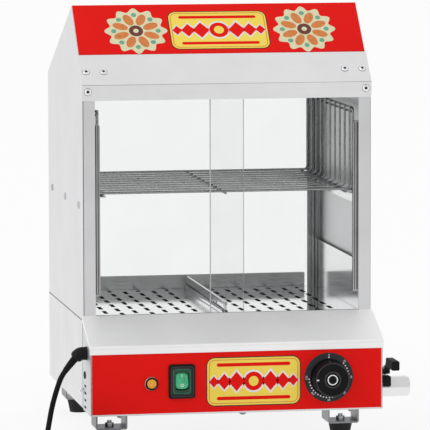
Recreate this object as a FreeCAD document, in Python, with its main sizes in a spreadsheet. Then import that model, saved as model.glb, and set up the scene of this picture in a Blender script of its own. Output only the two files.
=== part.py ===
import FreeCAD, Part
import math
import os
import re
import Sketcher

# A counter-top hot dog steamer: a sheet steel cabinet with sliding glass doors, a wire bun rack,
# slotted trays over a heated water tank, and a control box in front.
# X runs to the viewer's right, Y to the back and Z up. Lengths are millimetres.

SIZES = [
    # Cabinet
    ("body_width", 380, "outer width of the cabinet"),
    ("body_depth", 325, "depth of the cabinet behind the doors' front plane"),
    ("sheet", 1.2, "thickness of the casing's sheet steel"),
    ("bend_radius", 0.9, "outer radius of the sharp bends"),
    ("base_height", 115, "bottom of the base to the top of its deck"),
    ("window_height", 286, "deck to the header's lower edge"),
    ("header_height", 20.6, "upright band of the header"),
    ("ridge_setback", 95.4, "front plane to the ridge"),
    ("ridge_rise", 97.9, "top of the header band to the ridge"),
    ("shoulder_height", 303.3, "deck to the rear edge of the roof"),
    ("roof_skirt", 20, "upright strip along the roof's rear edge"),
    ("post_width", 16, "front and rear flanges of the side panels"),
    ("fascia_length", 50, "header's face up the front slope"),
    ("header_overhang", 0.8, "header beyond the side panels"),
    ("header_corner", 2.5, "radius of the header's lower corners"),
    ("sign_margin", 0.8, "gap round the sign plate"),
    # Feet and their straps
    ("foot_height", 19.5, "rubber foot"),
    ("foot_top_radius", 16, "rubber foot where it meets the strap"),
    ("foot_bottom_radius", 12, "rubber foot on the counter"),
    ("foot_side_inset", 36, "foot's axis from the cabinet's side"),
    ("foot_front_inset", 20, "front feet's axis behind the front plane"),
    ("foot_rear_inset", 27, "rear feet's axis before the rear face"),
    ("strap_height", 28.2, "strap between the foot and the base"),
    ("strap_width", 41.2, "strap across, outside its legs"),
    ("strap_depth", 42, "strap front to back"),
    ("strap_sheet", 2, "strap thickness"),
    ("strap_bend", 3, "strap's outer bends"),
    ("bolt_radius", 3, "foot bolt"),
    ("bolt_head_radius", 5, "foot bolt's round head"),
    ("bolt_head_height", 3, "foot bolt's round head"),
    ("bolt_recess", 9, "depth of the foot's recess for the bolt head"),
    ("bolt_recess_radius", 7, "foot's recess for the bolt head"),
    ("bolt_clearance", 0.2, "bolt in its holes"),
    ("bolt_stub", 2.9, "bolt above its nut"),
    ("nut_flats", 10, "foot nut across its flats"),
    ("nut_height", 5, "foot nut"),
    # Control box
    ("control_reach", 68, "front plane to the control panel's face"),
    ("control_height", 79.9, "bottom of the base to the lip's lower edge"),
    ("lip_height", 10.7, "upright lip along the apron's front"),
    ("lip_bend", 2.2, "outer radius of the lip's bend"),
    ("apron_step", 6.8, "deck to the apron's rear edge"),
    ("apron_skirt", 4, "fold down the apron's sides"),
    ("box_lap", 4, "control box over the base's sides"),
    ("box_lap_rise", 14, "bottom of the base to the lap's lower edge"),
    ("box_flange", 10, "control box flange behind the panel"),
    ("vent_length", 16, "vent slot"),
    ("vent_height", 3.5, "vent slot"),
    ("vent_corner", 1.2, "vent slot's corners"),
    ("vent_setback", 19, "vent slots' centre before the front plane"),
    ("vent_rise", 5.6, "bottom of the base to the lowest slot's centre"),
    ("vent_pitch", 9.2, "slot to slot"),
    ("vent_count", 4, "slots in each side"),
    ("wire_window_width", 230, "opening from the control box to the base"),
    ("wire_window_low", 48, "bottom of the base to the opening"),
    ("wire_window_height", 44, "opening from the control box to the base"),
    # Sliding doors and their tracks
    ("door_glass", 3.2, "thickness of the door glass"),
    ("slide_gap", 0.6, "door glass to each track wall"),
    ("glide_gap", 0.3, "door glass over the track floor"),
    ("track_wall", 1, "track walls and floors"),
    ("track_height", 6, "track walls over the deck"),
    ("top_track_height", 9, "top track"),
    ("top_track_gap", 0.8, "header's lower edge to the top track"),
    ("door_grip", 5, "door glass inside the top track"),
    ("door_overlap", 45.4, "the doors over each other when shut"),
    ("door_lap", 1.5, "doors behind the posts"),
    ("pull_width", 9.8, "pull channel across"),
    ("pull_wall", 1, "pull channel"),
    ("pull_low", 31.3, "deck to the pull's lower end"),
    ("pull_length", 224, "pull channel"),
    ("pull_corner", 4, "pull's upper corner"),
    # Rear glass and its channels
    ("rear_glass_sheet", 4, "thickness of the rear glass"),
    ("seat_gap", 0.4, "rear glass in its channels"),
    ("channel_inner", 171, "rear channel's inner edge from the middle"),
    ("channel_outer", 183.5, "rear channel's web from the middle"),
    ("channel_top", 283, "deck to the rear channels' upper ends"),
    ("rail_half", 166, "rear bottom rail from the middle"),
    ("rail_height", 20, "rear bottom rail"),
    # Water tank, trays and divider
    ("tank_sheet", 0.8, "tank wall and flange"),
    ("tank_half", 160, "tank's outer side from the middle"),
    ("tank_flange", 8, "tank's flange on the deck"),
    ("tank_depth", 62, "deck to the tank's bottom"),
    ("tank_corner", 12, "tank's upright corners"),
    ("tank_clearance", 0.5, "tank in the deck's opening"),
    ("tray_sheet", 0.8, "tray floor and flange"),
    ("tray_gap", 0.4, "trays to their neighbours"),
    ("tray_flange", 7, "tray's upturned edge at the divider"),
    ("tray_rear_gap", 2.5, "trays before the rear rail"),
    ("slot_length", 24, "steam slot"),
    ("slot_width", 4.5, "steam slot"),
    ("slot_column_pitch", 19.9, "column to column"),
    ("slot_corner", 2, "steam slot's corners"),
    ("slot_first_column", 31.3, "first column from the middle"),
    ("slot_margin", 1.5, "first slot from the tray's front edge"),
    ("slot_rows", 7, "slots in each outer column"),
    ("slot_columns", 4, "outer columns in a tray"),
    ("divider_web", 1.2, "divider's web"),
    ("divider_hem", 3, "divider's folded top edge"),
    ("divider_height", 19, "deck to the divider's top"),
    ("hem_height", 4.7, "divider's folded top edge"),
    ("finger_start", 15, "divider's front edge to its finger hole"),
    ("finger_length", 55, "finger hole"),
    ("finger_height", 11, "finger hole"),
    ("finger_corner", 5, "finger hole's corners"),
    ("divider_corner", 4.2, "divider's upper corners"),
    # Side liners, shelf rails and bun rack
    ("liner_sheet", 0.8, "side liner"),
    ("liner_inset", 6.2, "side liner's face to the cabinet's side panel's inner face"),
    ("liner_height", 67, "side liner"),
    ("ledge_height", 160.3, "deck to the shelf rails' upper face"),
    ("ledge_reach", 158, "shelf rail's inner edge from the middle"),
    ("ledge_leg", 22, "shelf rail's upright leg"),
    ("ledge_corner", 3, "shelf rail's outer bend"),
    ("rack_front_gap", 3, "rack's front loops behind the bottom track"),
    ("rack_rear_gap", 4.6, "rack's rear loops before the rear channels"),
    ("rack_half", 167, "rack's side wires from the middle"),
    ("rack_rise", 106.5, "rack's floor to the side wires' upper ends"),
    ("rack_bend", 6.5, "middle line of the rack wires' bends"),
    ("rack_wire", 1.3, "radius of the rack's floor wires"),
    ("rack_rod", 1.5, "radius of the rack's floor rods and loops"),
    ("rack_rim", 1.4, "radius of the rack's end rods and second rim rods"),
    ("rack_weld", 0.3, "depth that crossing wires sink into each other"),
    ("rack_wires", 10, "floor wires"),
    ("rack_wire_inset", 8.5, "first floor wire behind the loops"),
    ("rim_drop", 5.5, "second rim rod below the loop's top"),
    ("rest_gap", 0.2, "lift-outs over what carries them"),
    # Lamp, switch and thermostat
    ("controls_drop", 36.9, "lip's lower edge to the controls' middle line"),
    ("lamp_place", -112.3, "lamp's axis from the middle"),
    ("lamp_drop", 2.2, "lamp's axis under the dial's"),
    ("lamp_ring_radius", 8.85, "lamp's chrome ring"),
    ("lamp_ring_reach", 2, "lamp's chrome ring before the panel"),
    ("lamp_bore", 6.7, "lamp's recess"),
    ("lamp_barrel", 7.5, "lamp's barrel through the panel"),
    ("lamp_barrel_length", 22, "lamp's barrel behind the panel"),
    ("lens_radius", 6.4, "amber lens"),
    ("lens_reach", 3.2, "amber lens before the panel"),
    ("switch_place", -73, "switch's middle from the cabinet's middle"),
    ("switch_width", 34.6, "switch frame"),
    ("switch_height", 44.5, "switch frame"),
    ("switch_frame_reach", 3, "switch frame before the panel"),
    ("switch_corner", 4, "switch frame's corners"),
    ("switch_body_depth", 24, "switch behind the panel"),
    ("switch_body_inset", 3, "switch body inside its frame's outline"),
    ("well_width", 23.5, "switch well"),
    ("well_height", 32.4, "switch well"),
    ("well_corner", 3, "switch well's corners"),
    ("rocker_width", 17, "rocker"),
    ("rocker_radius", 11.5, "rocker's barrel about its pivot"),
    ("rocker_crown", 7.8, "rocker's crown before its pin's axis"),
    ("rocker_edge_angle", 65, "degrees from the rocker's crown to its face's ends"),
    ("rocker_gap", 0.4, "rocker in its well"),
    ("rocker_tilt", 10, "degrees that the rocker leans to either side"),
    ("rocker_back", 6.9, "rocker's pin's axis to its flat back"),
    ("rocker_side", 9.2, "half height of the rocker's flat back"),
    ("rocker_cheek", 7.2, "rocker's face half way to its ends, before its pin's axis"),
    ("rocker_pin", 1.5, "rocker's pin"),
    ("rocker_pin_length", 2, "rocker's pin on each side"),
    ("pin_fit", 0.05, "pins and spindles in their bores"),
    ("dial_place", 120, "thermostat's axis from the middle"),
    ("dial_radius", 32.25, "dial bezel"),
    ("dial_thickness", 1.5, "dial bezel"),
    ("knob_radius", 23.5, "knob at its foot"),
    ("knob_front_radius", 22.4, "knob at its face"),
    ("knob_reach", 26, "panel to the knob's face"),
    ("knob_edge", 1.6, "rounding of the knob's face"),
    ("knob_running_gap", 0.4, "knob before the bezel"),
    ("knob_wall", 3, "knob's wall and face"),
    ("knob_hub", 7, "knob's hub round the spindle"),
    ("dimple_radius", 11, "hollow in the knob's face"),
    ("dimple_depth", 1.5, "hollow in the knob's face"),
    ("cap_radius", 7, "chrome cap in the hollow"),
    ("cap_reach", 1.2, "chrome cap"),
    ("spindle_radius", 3, "thermostat's spindle"),
    ("spindle_grip", 14, "spindle inside the knob"),
    ("spindle_seat", 12, "spindle inside the thermostat"),
    ("thermostat_radius", 22, "thermostat housing"),
    ("thermostat_depth", 26, "thermostat housing"),
    ("bulb_radius", 3.5, "thermostat's bulb"),
    ("bulb_length", 80, "thermostat's bulb"),
    ("bulb_place", 90, "bulb from the middle"),
    ("bulb_rise", 30, "tank's bottom to the bulb"),
    ("capillary_radius", 1, "tube to the bulb"),
    ("capillary_run", 13, "tube's straight ends"),
    ("capillary_bend", 8.5, "middle line of the tube's bends"),
    ("gland_nut_radius", 8, "nuts where rods pass the tank wall"),
    ("gland_nut_length", 5, "nuts where rods pass the tank wall"),
    ("pass_gap", 0.3, "rods through the tank wall"),
    # Heating element and level probe
    ("element_radius", 4, "heating element's tube"),
    ("element_half", 45, "element's legs from the middle"),
    ("element_bend", 44.5, "middle line of the element's bends"),
    ("element_rise", 14, "tank's bottom to the element"),
    ("element_rear_gap", 16, "element's bend before the tank's rear wall"),
    ("element_terminal", 34, "element's ends before the tank's front wall"),
    ("probe_radius", 2.5, "level probe's rod"),
    ("probe_length", 45, "level probe's rod"),
    ("probe_place", -90, "level probe from the middle"),
    ("probe_rise", 28, "tank's bottom to the level probe"),
    ("probe_head_radius", 9, "level probe's head"),
    ("probe_head_length", 14, "level probe's head"),
    # Drain
    ("drain_place", 120, "tank's outlet from the middle"),
    ("drain_setback", 13, "tank's front wall to its outlet's axis"),
    ("drain_radius", 7, "drain pipe"),
    ("drain_bend", 14, "middle line of the drain pipe's bends"),
    ("drain_run", 40, "drain pipe's straight end before the side wall"),
    ("valve_setback", 20, "valve's axis behind the front plane"),
    ("valve_rise", 16.3, "bottom of the base to the valve's axis"),
    ("valve_flats", 25, "six-sided valve body across its flats"),
    ("valve_length", 56, "valve outside the cabinet"),
    ("valve_collar", 12, "round part of the valve beside the cabinet"),
    ("valve_neck", 11, "radius of the valve's round part"),
    ("valve_lip", 2, "round lip at the valve's outlet"),
    ("valve_bore", 8, "valve's outlet"),
    ("valve_bore_depth", 16, "valve's outlet"),
    ("stem_place", 24, "side panel to the valve's stem"),
    ("bonnet_width", 9.5, "clamp over the valve at its stem"),
    ("bonnet_depth", 30, "clamp over the valve at its stem"),
    ("bonnet_low", 2.5, "valve's axis to the clamp's lower edge"),
    ("bonnet_high", 14.5, "valve's axis to the clamp's top"),
    ("stem_height", 17, "valve's axis to the lever's underside"),
    ("stem_pin", 2.5, "stem's pin through the lever"),
    ("lever_hub", 7, "lever round the stem"),
    ("lever_rise", 6, "lever hub's height"),
    ("lever_width", 7, "lever strip"),
    ("lever_sheet", 3, "lever strip"),
    ("lever_length", 62, "lever from its stem"),
    ("lever_foot", 11, "lever's stem to its slope"),
    ("lever_slope", 14, "lever's slope, along and up"),
    ("grip_width", 10.5, "grip sleeve"),
    ("grip_height", 12.5, "grip sleeve"),
    ("grip_length", 36, "grip sleeve"),
    ("grip_corner", 2, "grip sleeve's edges"),
    # Cord gland, cord, coil and plug
    ("gland_setback", 33, "gland's axis before the front plane"),
    ("gland_rise", 77.7, "bottom of the base to the gland's axis"),
    ("gland_radius", 8.5, "gland's flange"),
    ("gland_flange", 5.5, "gland's flange"),
    ("gland_nose", 7, "gland's bent nose"),
    ("gland_bend", 9, "middle line of the gland's bend"),
    ("gland_turn", 48, "degrees that the gland turns the cord down"),
    ("gland_shank", 8, "gland's shank inside the box"),
    ("cord_radius", 3.5, "mains cord"),
    ("coil_place_x", -201.5, "coil's middle"),
    ("coil_place_y", -130, "coil's middle"),
    ("coil_radius", 48.5, "coil's outermost bottom turn"),
    ("coil_pitch", 7.8, "turn to turn in a layer"),
    ("coil_climb", 7.5, "layer to layer"),
    ("plug_radius", 18.5, "plug's face"),
    ("plug_length", 36, "plug's body"),
    ("plug_waist", 14, "plug's body behind its rim"),
    ("relief_length", 32, "plug's strain relief"),
    ("relief_radius", 5.5, "plug's strain relief where it meets the plug"),
    ("plug_pin_radius", 2.4, "plug's pins"),
    ("plug_pin_length", 19, "plug's pins"),
    ("plug_pin_spread", 9.5, "plug's pins from its axis"),
    # Screws
    ("screw_radius", 4.2, "screw head"),
    ("screw_height", 1.8, "screw head"),
    ("screw_edge", 1, "rounding of the screw head"),
    ("fascia_screw_rise", 21, "foot of the front slope to the fascia's screws"),
    ("fascia_screw_outer", 8.8, "side of the cabinet to the fascia's outer screws"),
    ("fascia_screw_inner", 32.3, "side of the cabinet to the fascia's inner screws"),
    ("header_screw_rise", 6.9, "header's lower edge to its screws"),
    ("shelf_screw_drop", 12.5, "shelf rails' upper face to their screws"),
    ("hex_radius", 5, "bonding bolt's head"),
    ("hex_height", 4, "bonding bolt's head"),
    ("hex_setback", 7.5, "front plane to the bonding bolt"),
    ("hex_rise", 25, "bottom of the base to the bonding bolt"),
    ("cover_rise", 47.5, "bottom of the base to the hole plug"),
    ("overrun", 1, "cuts beyond the faces that they open"),
]

doc = FreeCAD.newDocument("HotDogSteamer")
sheet = doc.addObject("Spreadsheet::Sheet", "Sizes")
for row, (name, number, note) in enumerate(SIZES, 1):
    sheet.set(f"A{row}", name)
    sheet.set(f"B{row}", str(number))
    sheet.setAlias(f"B{row}", name)
    sheet.set(f"C{row}", note)
doc.recompute()

NAMES = {name for name, number, note in SIZES}
WORD = re.compile(r"[A-Za-z_][A-Za-z_0-9]*")
parts = []


def value(expression):
    """The number that an expression of size names stands for."""
    return float(sheet.evalExpression(str(expression)))


def bind(thing, path, expression):
    """Tie a property to an expression of size names."""
    text = WORD.sub(lambda found: "Sizes." + found[0] if found[0] in NAMES else found[0], str(expression))
    thing.setExpression(path, text)


# Heights and planes that several pieces share
BASE = "(foot_height + strap_height)"
DECK = f"({BASE} + base_height)"
HEAD = f"({DECK} + window_height)"
BEND = f"({HEAD} + header_height)"
RIDGE = f"({BEND} + ridge_rise)"
SHOULDER = f"({DECK} + shoulder_height)"
HALF = "(body_width / 2)"
INNER = f"({HALF} - sheet)"
BOX_HALF = f"({HALF} + sheet)"
SLOPE = "sqrt(ridge_setback^2 + ridge_rise^2)"
APRON_TOP = f"({DECK} + apron_step)"
LIP_LOW = f"({BASE} + control_height)"
LIP_TOP = f"({LIP_LOW} + lip_height)"
TRACK_PITCH = "(door_glass + 2 * slide_gap + track_wall)"
TRACK_REAR = f"(sheet + 2 * {TRACK_PITCH} + track_wall)"
CHANNEL_DEPTH = "(2 * sheet + rear_glass_sheet + 2 * seat_gap)"
CHANNEL_REAR = "(body_depth - sheet)"
CHANNEL_FRONT = f"({CHANNEL_REAR} - {CHANNEL_DEPTH})"
TANK_BOTTOM = f"({DECK} - tank_depth)"
TANK_FRONT = f"({TRACK_REAR} + rest_gap + tank_flange)"
TANK_REAR = f"({CHANNEL_FRONT} - tank_flange - rest_gap)"
TRAY_LOW = f"({DECK} + tank_sheet)"
TRAY_FRONT = f"({TRACK_REAR} + tray_gap)"
TRAY_REAR = f"({CHANNEL_FRONT} - tray_rear_gap)"
SLOT_PITCH = f"(({TRAY_REAR} - {TRAY_FRONT} - 2 * slot_margin - slot_length) / (slot_rows - 1))"
LINER_FACE = f"({INNER} - liner_inset)"
LEDGE = f"({DECK} + ledge_height)"
CONTROLS = f"({LIP_LOW} - controls_drop)"
LAMP_Z = f"({CONTROLS} - lamp_drop)"
PANEL_FACE = "(-control_reach)"
VALVE_Z = f"({BASE} + valve_rise)"
GLAND_Z = f"({BASE} + gland_rise)"
DOOR_OUTER = f"({HALF} - post_width + door_lap)"

# The whole stands on the counter with its box's middle over the origin
GLAND_REACH = f"({BOX_HALF} + gland_flange + (gland_bend + gland_nose) * sin(gland_turn))"
SHIFT_X = f"(({GLAND_REACH} - ({HALF} + valve_length)) / 2)"
SHIFT_Y = "((control_reach + knob_reach - body_depth) / 2)"


def keep(thing, label):
    """Name a finished sub-part and move it by the shift that all of them share."""
    thing.Label = label
    bind(thing, "Placement.Base.x", SHIFT_X)
    bind(thing, "Placement.Base.y", SHIFT_Y)
    parts.append(thing)


def body(label):
    """An empty body for one sub-part."""
    made = doc.addObject("PartDesign::Body", "Body_" + label)
    keep(made, label)
    return made


def rename(made, name):
    """A feature name that is unique to its body."""
    return made.Name.replace("Body_", "") + "_" + name


def sketch_on(made, name, plane, offset="0", across="0", up="0"):
    """A sketch on one of the body's own planes, moved along its normal and within it."""
    drawn = made.newObject("Sketcher::SketchObject", rename(made, name))
    drawn.AttachmentSupport = [(part, "") for part in made.Origin.OriginFeatures if part.Role == plane]
    drawn.MapMode = "FlatFace"
    bind(drawn, "AttachmentOffset.Base.x", across)
    bind(drawn, "AttachmentOffset.Base.y", up)
    bind(drawn, "AttachmentOffset.Base.z", offset)
    return drawn


def pin(drawn, geometry, point, x, y):
    """Fix a sketch point at two expressions."""
    for kind, length in (("DistanceX", x), ("DistanceY", y)):
        index = drawn.addConstraint(Sketcher.Constraint(kind, -1, 1, geometry, point, value(length)))
        bind(drawn, f"Constraints[{index}]", length)


def polygon(points):
    """A closed outline with straight sides."""
    def draw(drawn):
        first = drawn.GeometryCount
        corners = [FreeCAD.Vector(value(x), value(y), 0) for x, y in points]
        for index, corner in enumerate(corners):
            drawn.addGeometry(Part.LineSegment(corner, corners[(index + 1) % len(corners)]))
        for index, (x, y) in enumerate(points):
            following = first + (index + 1) % len(points)
            drawn.addConstraint(Sketcher.Constraint("Coincident", first + index, 2, following, 1))
            pin(drawn, first + index, 1, x, y)
    return draw


def rectangle(left, low, right, high):
    """A rectangle between two opposite corners."""
    return polygon([(left, low), (right, low), (right, high), (left, high)])


def circle(x, y, radius):
    """A circle about a point."""
    def draw(drawn):
        centre = FreeCAD.Vector(value(x), value(y), 0)
        made = drawn.addGeometry(Part.Circle(centre, FreeCAD.Vector(0, 0, 1), value(radius)))
        index = drawn.addConstraint(Sketcher.Constraint("Radius", made, value(radius)))
        bind(drawn, f"Constraints[{index}]", radius)
        pin(drawn, made, 3, x, y)
    return draw


def path(points, radius):
    """A closed outline whose sides follow the axes and whose corners have one radius."""
    def draw(drawn):
        places = [FreeCAD.Vector(value(x), value(y), 0) for x, y in points]
        count = len(places)
        starts = []
        ends = []
        for index, place in enumerate(places):
            for steps, found in ((1, starts), (-1, ends)):
                unit = (places[(index + steps) % count] - place).normalize()
                x = f"{points[index][0]} + {round(unit.x)} * ({radius})"
                y = f"{points[index][1]} + {round(unit.y)} * ({radius})"
                found.append((place + unit * value(radius), x, y))
        lines = []
        for index in range(count):
            begin = starts[index]
            end = ends[(index + 1) % count]
            line = drawn.addGeometry(Part.LineSegment(begin[0], end[0]))
            pin(drawn, line, 1, begin[1], begin[2])
            pin(drawn, line, 2, end[1], end[2])
            lines.append(line)
        for index, corner in enumerate(places):
            inward = (ends[index][0] - corner) + (starts[index][0] - corner)
            middle = corner + inward * (1 - math.sqrt(0.5))
            arc = drawn.addGeometry(Part.Arc(ends[index][0], middle, starts[index][0]))
            begin_point, end_point = 1, 2
            if (drawn.Geometry[arc].StartPoint - ends[index][0]).Length > value(radius) / 2:
                begin_point, end_point = 2, 1
            drawn.addConstraint(Sketcher.Constraint("Coincident", lines[index - 1], 2, arc, begin_point))
            drawn.addConstraint(Sketcher.Constraint("Coincident", lines[index], 1, arc, end_point))
            bound = drawn.addConstraint(Sketcher.Constraint("Radius", arc, value(radius)))
            bind(drawn, f"Constraints[{bound}]", radius)
    return draw


def rounded(left, low, right, high, radius):
    """A rectangle with round corners."""
    return path([(left, low), (right, low), (right, high), (left, high)], radius)


def add(made, name, plane, low, high, *drawings):
    """A pad between two planes that are square to an axis."""
    offset = f"-({high})" if plane == "XZ_Plane" else low
    drawn = sketch_on(made, name + "Sketch", plane, offset)
    for draw in drawings:
        draw(drawn)
    pad = made.newObject("PartDesign::Pad", rename(made, name))
    pad.Profile = drawn
    bind(pad, "Length", f"({high}) - ({low})")
    doc.recompute()
    return pad


def cut(made, name, plane, low, high, *drawings):
    """A pocket between two planes that are square to an axis."""
    offset = f"-({low})" if plane == "XZ_Plane" else high
    drawn = sketch_on(made, name + "Sketch", plane, offset)
    for draw in drawings:
        draw(drawn)
    before = made.Shape.Volume
    pocket = made.newObject("PartDesign::Pocket", rename(made, name))
    pocket.Profile = drawn
    bind(pocket, "Length", f"({high}) - ({low})")
    doc.recompute()
    if not made.Shape.Volume < before:
        raise ValueError(f"{name} cuts nothing from {made.Label}")
    return pocket


def turn(made, name, axis, at, drawing, subtract=False):
    """A shape turned about an axis through a point. Outlines hold the place along the axis and radius."""
    across, back, up = at
    if axis == "Z":
        drawn = sketch_on(made, name + "Sketch", "XZ_Plane", f"-({back})", across, up)
    else:
        drawn = sketch_on(made, name + "Sketch", "XY_Plane", up, across, back)
    flipped = drawing if axis == "X" else [(radius, along) for along, radius in drawing]
    polygon(flipped)(drawn)
    before = made.Shape.Volume if subtract else 0
    kind = "PartDesign::Groove" if subtract else "PartDesign::Revolution"
    turned = made.newObject(kind, rename(made, name))
    turned.Profile = drawn
    turned.ReferenceAxis = (drawn, ["H_Axis" if axis == "X" else "V_Axis"])
    turned.Angle = 360
    doc.recompute()
    if subtract and not made.Shape.Volume < before:
        raise ValueError(f"{name} cuts nothing from {made.Label}")
    return turned


def repeat(made, name, feature, axis, pitch, count):
    """Copies of a feature along an axis."""
    row = made.newObject("PartDesign::LinearPattern", rename(made, name))
    row.Originals = [feature]
    row.Direction = ([part for part in made.Origin.OriginFeatures if part.Role == axis][0], [""])
    row.Mode = "Spacing"
    bind(row, "Offset", pitch)
    bind(row, "Occurrences", count)
    made.Tip = row
    doc.recompute()
    return row


def soften(made, name, radius, chosen):
    """A fillet along the edges that a test picks out."""
    before = made.Tip
    edges = [f"Edge{number}" for number, edge in enumerate(before.Shape.Edges, 1) if chosen(edge)]
    if not edges:
        raise ValueError(f"{name} finds no edge on {made.Label}")
    fillet = made.newObject("PartDesign::Fillet", rename(made, name))
    fillet.Base = (before, edges)
    bind(fillet, "Radius", radius)
    doc.recompute()
    return fillet


def edge_at(direction, x=None, y=None, z=None):
    """A test for straight edges along an axis whose middle lies at the places given."""
    near = value("sheet") / 100
    wanted = [None if place is None else value(place) for place in (x, y, z)]

    def chosen(edge):
        if edge.Curve.TypeId != "Part::GeomLine":
            return False
        if abs(abs(getattr(edge.Curve.Direction, direction)) - 1) > 1e-6:
            return False
        middle = edge.CenterOfMass
        return all(place is None or abs(found - place) < near for found, place in zip(middle, wanted))
    return chosen


def either(*tests):
    """A test that passes where one of several does."""
    return lambda edge: any(test(edge) for test in tests)


def strip(points, thickness, side):
    """A bent sheet's section: one face through the points, the other parallel to it on one side."""
    def draw(drawn):
        near = [FreeCAD.Vector(value(x), value(y), 0) for x, y in points]
        units = [(after - before).normalize() for before, after in zip(near, near[1:])]
        normals = [FreeCAD.Vector(-unit.y, unit.x, 0) * side for unit in units]
        bends = [normals[0]]
        for before, after in zip(normals, normals[1:]):
            bends.append((before + after) / (1 + before.dot(after)))
        bends.append(normals[-1])
        far = [place + bend * value(thickness) for place, bend in zip(near, bends)]
        runs = len(near) - 1
        front = [drawn.addGeometry(Part.LineSegment(near[n], near[n + 1])) for n in range(runs)]
        back = [drawn.addGeometry(Part.LineSegment(far[n], far[n + 1])) for n in range(runs)]
        caps = [drawn.addGeometry(Part.LineSegment(near[n], far[n])) for n in (0, runs)]
        for n in range(runs):
            pin(drawn, front[n], 1, *points[n])
            if n + 1 < runs:
                drawn.addConstraint(Sketcher.Constraint("Coincident", front[n], 2, front[n + 1], 1))
                drawn.addConstraint(Sketcher.Constraint("Coincident", back[n], 2, back[n + 1], 1))
            drawn.addConstraint(Sketcher.Constraint("Parallel", front[n], back[n]))
            gap = Sketcher.Constraint("Distance", back[n], 1, front[n], value(thickness))
            bind(drawn, f"Constraints[{drawn.addConstraint(gap)}]", thickness)
        pin(drawn, front[-1], 2, *points[-1])
        for cap, lines, end in ((caps[0], (front[0], back[0]), 1), (caps[1], (front[-1], back[-1]), 2)):
            drawn.addConstraint(Sketcher.Constraint("Coincident", cap, 1, lines[0], end))
            drawn.addConstraint(Sketcher.Constraint("Coincident", cap, 2, lines[1], end))
            drawn.addConstraint(Sketcher.Constraint("Perpendicular", cap, lines[0]))
    return draw


def mirrored(side, low, high):
    """A span along X on the right, or its mirror image on the left."""
    return (low, high) if side == "right" else (f"-({high})", f"-({low})")


def on_side(side, place):
    """A place along X on the right, or its mirror image on the left."""
    return place if side == "right" else f"-({place})"


# Feet, straps and their bolts

FOOT_PLACES = [
    (f"{end}_{side}", on_side(side, f"({HALF} - foot_side_inset)"), setback)
    for end, setback in (("front", "foot_front_inset"), ("rear", "(body_depth - foot_rear_inset)"))
    for side in ("left", "right")
]


def make_foot(place, x, y):
    foot = body("foot_" + place)
    turn(foot, "Rubber", "Z", (x, y, "0"), [
        ("0", "bolt_recess_radius"),
        ("0", "foot_bottom_radius"),
        ("foot_height", "foot_top_radius"),
        ("foot_height", "bolt_radius + bolt_clearance"),
        ("bolt_recess", "bolt_radius + bolt_clearance"),
        ("bolt_recess", "bolt_recess_radius"),
    ])


def make_strap(place, x, y):
    strap = body("strap_" + place)
    left, right = f"{x} - strap_width / 2", f"{x} + strap_width / 2"
    front, rear = f"{y} - strap_depth / 2", f"{y} + strap_depth / 2"
    add(strap, "Channel", "XZ_Plane", front, rear, strip(
        [(left, BASE), (left, "foot_height"), (right, "foot_height"), (right, BASE)], "strap_sheet", 1))
    corners = either(edge_at("y", x=left, z="foot_height"), edge_at("y", x=right, z="foot_height"))
    soften(strap, "Bends", "strap_bend", corners)
    cut(strap, "BoltHole", "XY_Plane", "foot_height", "foot_height + strap_sheet",
        circle(x, y, "bolt_radius + bolt_clearance"))


def make_foot_bolts():
    bolts = body("foot_bolts")
    seat = "(foot_height + strap_sheet)"
    for place, x, y in FOOT_PLACES:
        turn(bolts, "Bolt" + place, "Z", (x, y, "0"), [
            ("bolt_recess - bolt_head_height", "0"),
            ("bolt_recess - bolt_head_height", "bolt_head_radius"),
            ("bolt_recess", "bolt_head_radius"),
            ("bolt_recess", "bolt_radius"),
            (f"{seat} + nut_height + bolt_stub", "bolt_radius"),
            (f"{seat} + nut_height + bolt_stub", "0"),
        ])
        flat = "nut_flats / 2"
        point = "nut_flats / sqrt(3)"
        half = f"{point} / 2"
        add(bolts, "Nut" + place, "XY_Plane", seat, f"{seat} + nut_height", polygon([
            (f"{x} + {point}", y),
            (f"{x} + {half}", f"{y} + {flat}"),
            (f"{x} - {half}", f"{y} + {flat}"),
            (f"{x} - {point}", y),
            (f"{x} - {half}", f"{y} - {flat}"),
            (f"{x} + {half}", f"{y} - {flat}"),
        ]))


# Base and control box

def make_base_body():
    base = body("base_body")
    add(base, "Block", "XY_Plane", BASE, DECK, rectangle(f"-{HALF}", "0", HALF, "body_depth"))
    cut(base, "Inside", "XY_Plane", BASE, f"{DECK} - sheet",
        rectangle(f"-{INNER}", "sheet", INNER, "body_depth - sheet"))
    half = "(tank_half + tank_clearance)"
    cut(base, "TankOpening", "XY_Plane", f"{DECK} - sheet", DECK,
        rounded(f"-{half}", f"{TANK_FRONT} - tank_clearance", half, f"{TANK_REAR} + tank_clearance",
                "tank_corner"))
    low = f"({BASE} + wire_window_low)"
    cut(base, "WireWindow", "XZ_Plane", "0", "sheet",
        rectangle("-wire_window_width / 2", low, "wire_window_width / 2", f"{low} + wire_window_height"))
    cut(base, "DrainHole", "YZ_Plane", INNER, HALF,
        circle("valve_setback", VALVE_Z, "drain_radius + pass_gap"))


def make_bottom_plate():
    plate = body("bottom_plate")
    add(plate, "Plate", "XY_Plane", BASE, f"{BASE} + sheet",
        rectangle(f"-{INNER}", "sheet", INNER, "body_depth - sheet"))


# The apron's underside lies this much lower than its top, measured upright
APRON_RUN = "(control_reach + sheet)"
APRON_RISE = f"({APRON_TOP} - {LIP_TOP})"
APRON_DROP = f"(sheet * sqrt({APRON_RUN}^2 + {APRON_RISE}^2) / {APRON_RUN})"


def apron_height(y):
    """The height of the apron's upper face over a place along Y."""
    return f"({APRON_TOP} + ({y}) * {APRON_RISE} / {APRON_RUN})"


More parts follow.
